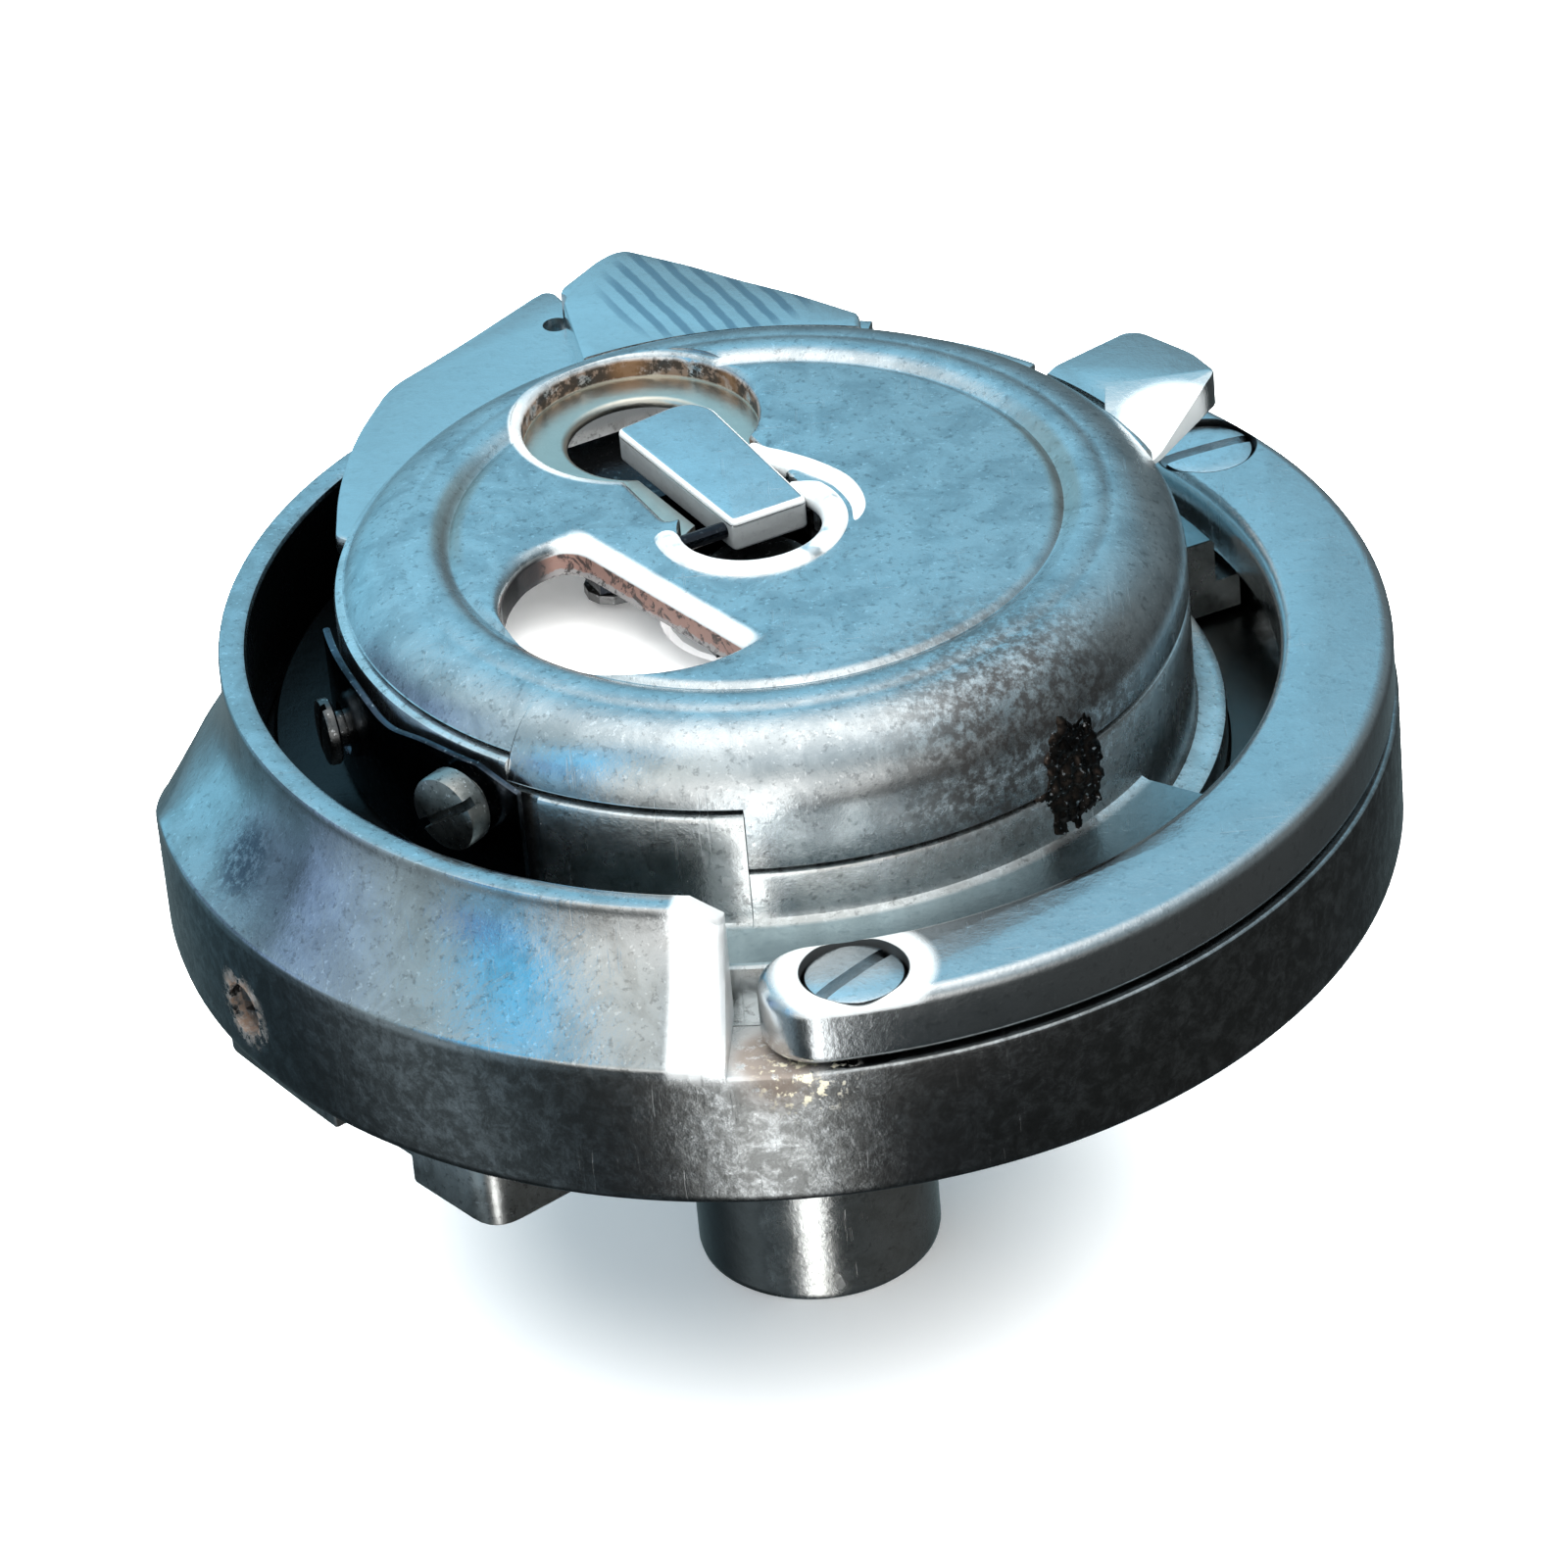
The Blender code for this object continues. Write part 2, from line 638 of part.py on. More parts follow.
def make_leaf_screws():
    """The adjusting screw and the fixing screw of the tension leaf."""
    tension = make_slotted_screw("tension_screw", radial_matrix(*TENSION), (0.65, 1.4), (13.5, 15.85),
                                 (15.85, 16.85), (0.35, 0.45, 35.0))
    move_origin(tension, (*polar(15.85, TENSION[0]), TENSION[1]))
    make_slotted_screw("spring_fixing_screw", radial_matrix(*FIXING), (0.65, 1.2), (13.5, 15.85),
                       (15.85, 16.35), (0.3, 0.25, 80.0))


# ---------------------------------------------------------------- bobbin

def make_bobbin():
    """Core tube with two pressed flanges."""
    low, high = BOBBIN_Z
    inset = FLANGE_T + GAP
    core = [
        (BOBBIN_BORE, low), (TUBE_R, low), (TUBE_R, low + inset), (BARREL_R, low + inset),
        (BARREL_R, high - inset), (TUBE_R, high - inset), (TUBE_R, high), (BOBBIN_BORE, high),
    ]
    make_ring("bobbin_core", core, PLASTIC, 15.0)
    for name, base in (("bobbin_flange_lower", low), ("bobbin_flange_upper", high - FLANGE_T)):
        top = base + FLANGE_T
        outline = [(TUBE_R + GAP, base), (BOBBIN_R, base), (BOBBIN_R, top), (TUBE_R + GAP, top)]
        make_ring(name, outline, PLASTIC)


# ---------------------------------------------------------------- cap

def shoulder_points(edge):
    """Rounded shoulder from the cap's lower edge up to its flat top."""
    centre_r, centre_z = CAP_R - SHOULDER, CAP_TOP - SHOULDER
    first = 0.0
    angles = [18.0 * k for k in range(6)]
    if edge > centre_z:
        first = math.degrees(math.asin((edge - centre_z) / SHOULDER))
        angles = [first + (90.0 - first) * (k + 1) / 6.0 for k in range(6)]
    points = [(centre_r + SHOULDER * math.cos(math.radians(first)), edge)]
    for angle in angles:
        x, z = polar(SHOULDER, angle)
        points.append((centre_r + x, centre_z + z))
    return points


def cap_outline(azimuth):
    """Whole (radius, z) outline of the cap at an azimuth."""
    edge = THREAD_Z[1] if in_sector(azimuth, *THREAD_AZ) else seam_height(azimuth)
    return [
        (HOLE_R, CAP_PLATE), (CAP_IN_R - 0.1, CAP_PLATE), (CAP_IN_R, edge), *shoulder_points(edge),
        (GROOVE_R + 0.3, CAP_TOP), (GROOVE_R, CAP_TOP - 0.2), (GROOVE_R - 0.3, CAP_TOP), (HOLE_R, CAP_TOP),
    ]


def window_outline():
    """Half-disc window with one rounded end and one pointed end."""
    normal = Vector(polar(1.0, CHORD_AZ))
    along = Vector((-normal.y, normal.x))
    centre = Vector(WINDOW_C)
    offset = centre.dot(normal) - CHORD
    foot = centre - normal * offset
    half = math.sqrt(WINDOW_R ** 2 - offset ** 2)
    tip = foot + along * half
    blunt = foot - along * (half - 1.3)
    first = math.degrees(math.atan2(*reversed(tip - centre)))
    last = first - 164.0
    points = [tuple(tip)] + arc(WINDOW_R, first, last, WINDOW_C, 9.0)[1:]
    soft = centre + Vector(polar(WINDOW_R - 0.12, last - 8.0)) - along * 0.05
    return points + [tuple(soft), tuple(blunt)]


def make_cap_shell():
    """Cap with the window, the latch recess, the raised ring and the skirt."""
    steps = [start for start, _ in SEAM if start != THREAD_AZ[1]]
    shell = sweep("cap_shell", stepped_stations(cap_outline, [*steps, *THREAD_AZ]))
    stop = latch_box("stop", STOP_S, (-0.9, 0.9), (28.5, CAP_PLATE + 0.5))
    outer = arc(RING_R[1], *RING_AZ, RING_C)
    inner = arc(RING_R[0] - 0.1, *RING_AZ[::-1], RING_C)
    ring = prism("ring", outer + inner, CAP_TOP - 0.5, RING_TOP)
    join(shell, stop, ring)
    low, high = CAP_PLATE - 1.5, RING_TOP + 1.0
    cutters = [
        hole_cutter(RECESS_R[1], RECESS_C, RECESS_Z, high, 36),
        hole_cutter(RECESS_R[0], RECESS_C, low, high, 28),
        hole_cutter(RING_R[0], RING_C, low, high, 28),
        latch_box("cutter", POCKET_S, POCKET_N, (RECESS_Z, high)),
        latch_prism("cutter", SLOT_SHAPE, low, high),
        prism("cutter", window_outline(), low, high),
        rod_cutter(pin_matrix(), PIN_R + 0.25, -PIN_HALF - 0.3, PIN_HALF + 0.3, 12),
    ]
    for side in (-1.0, 1.0):
        cutters.append(hole_cutter(RIVET_R + GAP, latch_point(RIVET_S, side * RIVET_N), low, 30.8))
    return cut(shell, *cutters)


def make_latch_lever():
    """Lever with a blunt free end, hinged on the pin inside the raised ring."""
    lever = latch_prism("latch_lever", LEVER_SHAPE, *LEVER_Z)
    cut(lever, rod_cutter(pin_matrix(), PIN_R + 0.2, -5.0, 5.0, 12))
    return move_origin(lever, (*latch_point(PIN_S, 0.0), PIN_Z))


def make_latch_pin():
    """Hinge pin across the ring."""
    return prism("latch_pin", circle(PIN_R, count=12), -PIN_HALF, PIN_HALF, matrix=pin_matrix())


def make_latch_slide():
    """Plate that locks under the head of the centre post."""
    slide = latch_box("latch_slide", SLIDE_S, (-SLIDE_HALF, SLIDE_HALF), SLIDE_Z)
    reach = POST_R + 0.4
    hole = arc(reach, 90.0, 270.0, step=15.0) + arc(reach, -90.0, 90.0, (SLIDE_TRAVEL, 0.0), 15.0)
    cut(slide, latch_prism("cutter", hole, SLIDE_Z[0] - 1.0, SLIDE_Z[1] + 1.0))
    return move_origin(slide, (0.0, 0.0, sum(SLIDE_Z) / 2.0))


def make_slide_keeper():
    """Plate riveted under the cap that carries the slide and closes the latch recess from below."""
    ear = (RIVET_S - 1.0, RIVET_S + 1.0)
    half = SLIDE_HALF + 0.4
    outer = RIVET_N + 0.95
    side = [(SLIDE_S[0] + 0.5, half), (ear[0] - 0.3, half), (ear[0], outer), (ear[1], outer),
            (ear[1] + 0.1, half), (KEEPER_END, half)]
    outline = [(s, -n) for s, n in side] + list(reversed(side))
    keeper = latch_prism("slide_keeper", outline, *KEEPER_Z)
    low, high = KEEPER_Z[0] - 1.0, KEEPER_Z[1] + 1.0
    cut(keeper, hole_cutter(POST_R + 0.4, (0.0, 0.0), low, high, 24))
    spots = [latch_point(RIVET_S, sign * RIVET_N) for sign in (-1.0, 1.0)]
    holes = [hole_cutter(RIVET_R + GAP, spot, low, high) for spot in spots]
    return cut(keeper, *holes)


def make_keeper_rivets():
    """Two rivets from under the keeper up into the cap."""
    low = KEEPER_Z[0] - GAP
    head = 1.05
    outline = [
        (0.0, low - 0.35), (head, low - 0.35), (head, low), (RIVET_R, low), (RIVET_R, 30.5), (0.0, 30.5),
    ]
    for number, side in ((1, -1.0), (2, 1.0)):
        place = Matrix.Translation((*latch_point(RIVET_S, side * RIVET_N), 0.0))
        turned(f"keeper_rivet_{number}", outline, STEEL, 12, place)


def make_latch_spring():
    """Small coil that pushes the slide towards the post."""
    turns, per_turn = 5, 10
    along = Vector((*polar(1.0, LATCH_AZ), 0.0))
    across = Vector((*polar(1.0, LATCH_AZ - 90.0), 0.0))
    up = Vector((0.0, 0.0, 1.0))
    start, end = SPRING_S
    outlines = []
    count = turns * per_turn
    for k in range(count + 1):
        x, z = polar(1.0, 360.0 * k / per_turn)
        outward = across * x + up * z
        centre = along * (start + (end - start) * k / count) + outward * SPRING_R + up * SPRING_Z
        section = (polar(WIRE_R, 72.0 * j) for j in range(5))
        outlines.append([centre + outward * a + along * b for a, b in section])
    return loft("latch_spring", outlines, SPRING_STEEL)


# ---------------------------------------------------------------- assembly

def clear_scene():
    """Remove every object of the starting scene."""
    for obj in list(bpy.data.objects):
        bpy.data.objects.remove(obj)


def main():
    clear_scene()
    make_hook_body()
    make_carrier()
    make_shaft()
    make_gib()
    make_gib_screws()
    make_plug()
    make_case_base()
    make_post()
    make_brake_spring()
    make_tension_spring()
    make_leaf_screws()
    make_bobbin()
    make_cap_shell()
    make_latch_lever()
    make_latch_pin()
    make_latch_slide()
    make_slide_keeper()
    make_keeper_rivets()
    make_latch_spring()


main()
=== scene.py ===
"""Looks for the rotary hook and its bobbin case: worn, oily steel in a soft studio.

Lengths are in millimetres and angles in degrees, counter-clockwise from +X seen from above, as in
the CAD part.  The outer pieces are rebuilt here as finer surfaces in the place of their CAD nodes.
The bobbin, the centre post and the small latch parts keep their CAD shape and only get a material.
"""

import math

import bmesh
import bpy
from mathutils import Matrix, Vector, noise


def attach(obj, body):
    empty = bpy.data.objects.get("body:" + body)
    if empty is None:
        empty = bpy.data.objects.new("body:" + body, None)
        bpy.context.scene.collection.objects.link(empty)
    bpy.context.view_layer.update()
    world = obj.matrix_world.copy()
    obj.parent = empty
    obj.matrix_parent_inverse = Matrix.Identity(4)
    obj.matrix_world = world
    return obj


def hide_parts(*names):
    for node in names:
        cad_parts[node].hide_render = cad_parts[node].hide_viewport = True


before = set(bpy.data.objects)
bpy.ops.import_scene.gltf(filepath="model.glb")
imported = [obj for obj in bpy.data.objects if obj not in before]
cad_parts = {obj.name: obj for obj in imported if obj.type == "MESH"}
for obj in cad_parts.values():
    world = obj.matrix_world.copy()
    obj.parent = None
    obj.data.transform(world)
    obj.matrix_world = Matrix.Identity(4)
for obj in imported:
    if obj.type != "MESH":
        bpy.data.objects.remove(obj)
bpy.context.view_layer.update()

MM = 0.001

# Camera
CAMERA_TARGET = (0.0, 0.0, 16.62)
CAMERA_DISTANCE = 300.0
CAMERA_ELEVATION = 34.0
CAMERA_ROLL = -5.24
CAMERA_LENS = 191.4
CAMERA_SHIFT = (-0.0019, 0.0488)

# Hook
HOOK_R = 22.2
HOOK_Z = 17.6
HOOK_FLOOR_Z = 18.8
BORE_R = 3.8
WELL_R = 16.2
RACE_R = 18.95
RACE_Z = 21.0
PARTING_Z = 22.9
RIM_R = (18.3, 19.3)
RIM_Z = 27.8
WALL_AZ = (75.0, 263.0)
CONE = ((20.9, 24.05, 0.55), (20.1, 24.8, 0.45), (19.6, 25.4, 0.3), (19.35, 26.2, 0.1))
CONE_FRONT = ((21.4, 24.1), (20.7, 24.95), (20.1, 25.8), (19.6, 26.7))
CONE_AZ = (190.0, 215.0)     # the hollow band straightens between these azimuths
RIDGE = ((75.0, 18.4), (150.0, 18.4), (160.0, 19.0), (170.0, 20.1), (180.0, 21.6), (190.0, 23.3),
         (263.0, 23.3))
RIDGE_TOP = 23.3
FACET = (5.2, 0.34, 0.3)     # flat on the wall's front end: angle, depth, rounding of its last edge
BEAK = ((78.0, 23.4, 25.8, 19.2), (70.0, 23.5, 25.6, 19.4), (63.0, 23.9, 25.2, 19.4),
        (57.0, 24.4, 24.7, 19.1))
BEAK_IN_R = 18.6
PLUG = (-150.0, 20.0, 0.85)
CARRIER_Z = (14.4, 17.3)
CARRIER_AZ = -143.7
CARRIER_HALF = (19.9, 7.85)
CHANNEL = (6.5, -1.0, 3.4)
CHANNEL_DEPTH = 1.1
SHAFT_R = 4.5
NECK_R = 3.5

# Gib
GIB_R = (18.1, 22.1)
GIB_Z = (23.03, 25.5)
GIB_AZ = (-88.3, 46.5)
GIB_SCREWS = (("gib_screw_front", -84.6, 20.1, 44.0), ("gib_screw_back", 34.3, 20.1, 18.3))
GIB_SINK = (1.86, 24.15)
GIB_ROUND = 0.5

# Case base
CASE_R = 15.0
PROUD_R = 15.2
PROUD_AZ = (237.0, 265.0)
CASE_IN_R = 13.3
LIP_R = 13.9
LIP_Z = 29.6
CASE_Z = 19.3
CASE_FLOOR_Z = 20.2
RIB_R = 18.65
RIB_Z = (21.3, 22.6)
FLANGE_R = 17.7
FLANGE_Z = 24.4
CUTAWAY_AZ = (-34.0, 22.0)
CUTAWAY_R = 16.1
CUTAWAY_Z = 22.5
POST_R = 2.0
SHELF_Z = (28.1, 28.9)
POINTED_Z = (28.4, 30.0)
STOP_Z = (28.2, 29.7)
COLLAR_Z = (28.9, 29.6)
NOTCH_C = (-6.7, 18.5)
TRIM = (15.15, 29.2)

# Cap
CAP_R = 15.0
CAP_IN_R = 14.2
CAP_TOP = 31.2
CAP_PLATE = 29.9
SHOULDER = 2.7
SEAM = ((-95.0, 26.4), (-44.0, 27.5), (18.0, 29.8), (232.0, 28.8))
SEAM_GAP = 0.12
THREAD_AZ = (-52.0, -44.0)
THREAD_Z = (24.95, 28.3)
HOLE_R = 2.0
CREASE = ((12.25, 31.25), (11.9, 31.31), (11.55, 31.32), (11.25, 31.26), (11.02, 31.14), (10.88, 31.05),
          (10.8, 31.04), (10.72, 31.09), (10.6, 31.17), (10.4, 31.2))
RING_C = (-0.2, -0.4)
RING_R = (2.6, 3.4)
RING_AZ = (178.0, 419.0)
RING_TOP = 31.45
RING_THICK = 1.0
COLLAR = ((0.1, 5.05), (0.5, 4.4), (1.15, 3.8), (2.2, 2.9), (3.15, 1.8), (3.62, 0.28), (3.4, -1.0),
          (2.9, -2.0))
COLLAR_R = 0.5
RECESS_C = (-3.8, 7.6)
RECESS_R = (2.7, 4.25)
RECESS_Z = 30.25
WINDOW_C = (-3.95, -4.3)
WINDOW_R = 5.1
CHORD = 5.4
CHORD_AZ = -143.0

# Latch
LATCH_AZ = 114.4
LEVER_SHAPE = ((0.02, -0.9, 0.25), (8.0, -1.5, 0.3), (8.3, 0.9, 0.5), (8.1, 1.6, 0.6), (7.4, 2.05, 0.5),
               (0.02, 2.05, 0.25))
LEVER_Z = (30.0, 31.3)
POCKET_S = (1.5, 6.5)
POCKET_N = (-2.7, 2.4)
SLOT_SHAPE = ((0.0, -1.25), (7.5, -1.85), (7.5, 2.35), (0.0, 2.35))

# Leaf and its screws
LEAF_R = (15.3, 15.55)
LEAF_AZ = (188.0, 235.0)
LEAF_Z = (24.75, 29.6)
TENSION = (226.7, 28.0)
FIXING = (195.0, 26.6)

# Colours of dirt and oil, also used as painted shade, and of painted highlights
OIL_AND_SHADE = (0.012, 0.014, 0.016)
OIL_AND_SHADE_BLACK = (0.008, 0.009, 0.010)
RUST = (0.13, 0.075, 0.040)
HIGHLIGHT_WHITE = (0.50, 0.52, 0.52)
DULL = 0.6                   # a stain as rough as this is a dull coat instead of bare metal
SCRATCH = 0.2                # depth of the scratches in steel
GRAIN = 0.5                  # depth of its orange peel

# Brightness of the surroundings by elevation
SKY = ((-90.0, (0.010, 0.014, 0.017)), (-34.0, (0.016, 0.028, 0.034)), (-12.0, (0.050, 0.056, 0.058)),
       (4.0, (0.14, 0.15, 0.15)), (28.0, (0.36, 0.44, 0.47)), (55.0, (1.15, 1.25, 1.30)),
       (90.0, (2.5, 2.5, 2.45)))

# Soft patches of light and dark in the surroundings: azimuth, elevation, half-widths, colour
PAINT = (
    (90.0, 34.0, 75.0, 24.0, (0.40, 0.90, 1.20)),
    (128.0, 4.0, 24.0, 20.0, (0.36, 0.86, 1.15)),
    (62.0, 12.0, 20.0, 20.0, (0.15, 0.20, 0.22)),
    (10.0, 20.0, 38.0, 26.0, (0.21, 0.235, 0.24)),
    (90.0, -34.0, 24.0, 20.0, (0.19, 0.27, 0.29)),
    (-10.0, -34.0, 60.0, 34.0, (0.046, 0.049, 0.048)),
    (-162.0, -34.0, 15.0, 24.0, (0.30, 0.37, 0.41)),
    (-178.0, 46.0, 26.0, 17.0, (0.80, 0.96, 1.00)),
    (-128.0, 33.0, 13.0, 28.0, (1.05, 1.08, 1.02)),
    (-166.0, 18.0, 13.0, 24.0, (0.52, 0.66, 0.70)),
    (-179.0, 16.0, 5.0, 20.0, (0.52, 0.74, 0.98)),
    (171.0, 14.0, 5.0, 20.0, (0.34, 0.52, 0.86)),
    (160.0, 9.0, 5.0, 18.0, (0.05, 0.085, 0.14)),
    (149.0, 4.0, 6.0, 16.0, (0.16, 0.23, 0.35)),
    (-146.0, 29.0, 6.5, 26.0, (0.00, 0.92, 1.70)),
    (-151.0, 14.0, 3.5, 7.0, (0.02, 0.10, 0.50)),
    (-92.0, 12.0, 28.0, 17.0, (1.70, 1.68, 1.64)),
    (-98.0, -36.0, 6.5, 34.0, (4.2, 4.3, 4.3)),
)
STREAK = (0.10, 0.11, 0.12)

# Stage
FLOOR_R = 1800.0
BACKDROP_HIGH = 3000.0
LAMP_SPOT = (0.05, -0.10, 0.75)
LAMP_SIZE = 1.3
LAMP_POWER = 40.0


# ---------------------------------------------------------------- shape helpers

def polar(radius, azimuth):
    angle = math.radians(azimuth)
    return radius * math.cos(angle), radius * math.sin(angle)


def latch_point(s, n):
    along = polar(s, LATCH_AZ)
    across = polar(n, LATCH_AZ - 90.0)
    return along[0] + across[0], along[1] + across[1]


def circle(radius, centre=(0.0, 0.0), count=48):
    points = (polar(radius, 360.0 * k / count) for k in range(count))
    return [(centre[0] + x, centre[1] + y) for x, y in points]


def arc(radius, start, end, centre=(0.0, 0.0), step=1.5):
    count = max(1, round(abs(end - start) / step))
    points = (polar(radius, start + (end - start) * k / count) for k in range(count + 1))
    return [(centre[0] + x, centre[1] + y) for x, y in points]


def in_sector(azimuth, start, end):
    return (azimuth - start) % 360.0 < (end - start) % 360.0


def interpolate(table, value):
    for (x0, y0), (x1, y1) in zip(table, table[1:]):
        if x0 <= value <= x1:
            share = (value - x0) / (x1 - x0)
            return y0 + (y1 - y0) * share
    return table[-1][1]


def smooth_line(points, count):
    """Points of a Catmull-Rom curve through the given ones."""
    padded = [points[0], *points, points[-1]]
    spans = len(points) - 1
    result = []
    for k in range(count):
        t = spans * k / (count - 1)
        i = min(int(t), spans - 1)
        t -= i
        a, b, c, d = (Vector(p) for p in padded[i:i + 4])
        point = 0.5 * (2 * b + (c - a) * t + (2 * a - 5 * b + 4 * c - d) * t ** 2
                       + (3 * b - a - 3 * c + d) * t ** 3)
        result.append(tuple(point))
    return result


def fillet(points, segments=4):
    """Closed outline of (x, y, radius) corners with each corner rounded."""
    result = []
    count = len(points)
    for k, (x, y, radius) in enumerate(points):
        corner = Vector((x, y))
        if radius <= 0.0:
            result.append((x, y))
            continue
        before = Vector(points[k - 1][:2]) - corner
        after = Vector(points[(k + 1) % count][:2]) - corner
        reach = min(radius, 0.45 * before.length, 0.45 * after.length)
        start = corner + before.normalized() * reach
        end = corner + after.normalized() * reach
        for j in range(segments + 1):
            t = j / segments
            point = start * (1 - t) ** 2 + corner * (2 * t * (1 - t)) + end * t ** 2
            result.append(tuple(point))
    return result


def make_object(name, bm, sharp=32.0):
    bmesh.ops.remove_doubles(bm, verts=bm.verts, dist=1e-5)
    bmesh.ops.recalc_face_normals(bm, faces=bm.faces)
    bmesh.ops.scale(bm, vec=(MM, MM, MM), verts=bm.verts)
    mesh = bpy.data.meshes.new(name)
    bm.to_mesh(mesh)
    bm.free()
    finish_mesh(mesh, sharp)
    obj = bpy.data.objects.new(name, mesh)
    bpy.context.scene.collection.objects.link(obj)
    return obj


def finish_mesh(mesh, sharp=32.0):
    mesh.shade_smooth()
    mesh.set_sharp_from_angle(angle=math.radians(sharp))


def bridge(bm, first, second):
    count = len(first)
    for k in range(count):
        bm.faces.new((first[k], first[(k + 1) % count], second[(k + 1) % count], second[k]))


def loft(name, outlines):
    bm = bmesh.new()
    rings = [[bm.verts.new(point) for point in outline] for outline in outlines]
    for first, second in zip(rings, rings[1:]):
        bridge(bm, first, second)
    bm.faces.new(rings[0])
    bm.faces.new(rings[-1])
    return make_object(name, bm)


def sweep(name, stations):
    bm = bmesh.new()
    rings = []
    for azimuth, outline in stations:
        rings.append([bm.verts.new((*polar(r, azimuth), z)) for r, z in outline])
    for k, ring in enumerate(rings):
        bridge(bm, ring, rings[(k + 1) % len(rings)])
    return make_object(name, bm)


def make_ring(name, outline, step=2.0):
    count = round(360.0 / step)
    return sweep(name, [(360.0 * k / count, outline) for k in range(count)])


def stepped_stations(outline_at, steps, step_deg=1.5, edge=0.05):
    azimuths = set()
    for k in range(round(360.0 / step_deg)):
        azimuth = k * step_deg
        if all(abs((azimuth - s + 180.0) % 360.0 - 180.0) > 0.3 for s in steps):
            azimuths.add(azimuth)
    for s in steps:
        azimuths.add((s - edge) % 360.0)
        azimuths.add((s + edge) % 360.0)
    return [(azimuth, outline_at(azimuth)) for azimuth in sorted(azimuths)]


def turned(name, outline, count=48, matrix=None):
    """Solid of revolution about Z: the outline starts and ends on the axis."""
    bm = bmesh.new()
    bottom = bm.verts.new((0.0, 0.0, outline[0][1]))
    top = bm.verts.new((0.0, 0.0, outline[-1][1]))
    rings = []
    for radius, z in outline[1:-1]:
        rings.append([bm.verts.new((*polar(radius, 360.0 * k / count), z)) for k in range(count)])
    for first, second in zip(rings, rings[1:]):
        bridge(bm, first, second)
    for k in range(count):
        bm.faces.new((bottom, rings[0][k], rings[0][(k + 1) % count]))
        bm.faces.new((top, rings[-1][k], rings[-1][(k + 1) % count]))
    if matrix is not None:
        bmesh.ops.transform(bm, matrix=matrix, verts=bm.verts)
    return make_object(name, bm)


def prism(name, outline, low, high, matrix=None):
    bm = bmesh.new()
    lower = [bm.verts.new((x, y, low)) for x, y in outline]
    upper = [bm.verts.new((x, y, high)) for x, y in outline]
    bridge(bm, lower, upper)
    bm.faces.new(lower)
    bm.faces.new(upper)
    if matrix is not None:
        bmesh.ops.transform(bm, matrix=matrix, verts=bm.verts)
    return make_object(name, bm)


def rolled_cutter(outline_at, low, high, edge, width, depth):
    """Cutter whose walls roll outwards by a width over a depth below an edge height."""
    levels = [(low, 0.0), (edge - depth, 0.0)]
    for k in range(1, 7):
        angle = math.radians(15.0 * k)
        levels.append((edge - depth + depth * math.sin(angle), width * (1.0 - math.cos(angle))))
    levels.append((high, width))
    return loft("cutter", [[(x, y, z) for x, y in outline_at(grow)] for z, grow in levels])


def tube(name, path, radii, sides=20):
    """Round rod along a path, with its radius at each point."""
    outlines = []
    for k, (point, radius) in enumerate(zip(path, radii)):
        before = Vector(path[max(0, k - 1)])
        after = Vector(path[min(len(path) - 1, k + 1)])
        side = (after - before).cross(Vector((0.0, 0.0, 1.0))).normalized()
        ring = []
        for j in range(sides):
            x, z = polar(radius, 360.0 * j / sides)
            ring.append(Vector(point) + side * x + Vector((0.0, 0.0, z)))
        outlines.append(ring)
    return loft(name, outlines)


def latch_prism(name, outline, low, high):
    return prism(name, [latch_point(s, n) for s, n in outline], low, high)


def radial_matrix(azimuth, z):
    direction = Vector((*polar(1.0, azimuth), 0.0))
    turn = direction.to_track_quat("Z", "Y").to_matrix().to_4x4()
    return Matrix.Translation((0.0, 0.0, z)) @ turn


def hole_cutter(radius, centre, low, high, count=48):
    return prism("cutter", circle(radius, centre, count), low, high)


def rod_cutter(matrix, radius, start, end, count=32):
    return prism("cutter", circle(radius, count=count), start, end, matrix)


def apply_modifiers(obj):
    graph = bpy.context.evaluated_depsgraph_get()
    mesh = bpy.data.meshes.new_from_object(obj.evaluated_get(graph))
    obj.modifiers.clear()
    old = obj.data
    obj.data = mesh
    bpy.data.meshes.remove(old)
    finish_mesh(mesh)
    return obj


def combine(target, tools, operation):
    for tool in tools:
        modifier = target.modifiers.new("shape", "BOOLEAN")
        modifier.operation = operation
        modifier.solver = "EXACT"
        modifier.object = tool
    apply_modifiers(target)
    for tool in tools:
        bpy.data.objects.remove(tool)
    return target


def cut(target, *tools):
    return combine(target, tools, "DIFFERENCE")


def join(target, *tools):
    return combine(target, tools, "UNION")


def bevel(obj, width, segments=3, angle=50.0):
    modifier = obj.modifiers.new("edge", "BEVEL")
    modifier.width = width * MM
    modifier.segments = segments
    modifier.limit_method = "ANGLE"
    modifier.angle_limit = math.radians(angle)
    modifier.use_clamp_overlap = True
    modifier.harden_normals = False
    return apply_modifiers(obj)


def place(obj, body, slot, material, *nodes):
    """Hang a finished piece on its body in the place of its CAD nodes."""
    obj.data.materials.clear()
    obj.data.materials.append(material)
    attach(obj, body)
    if nodes:
        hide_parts(*nodes)
    return obj


# ---------------------------------------------------------------- material helpers

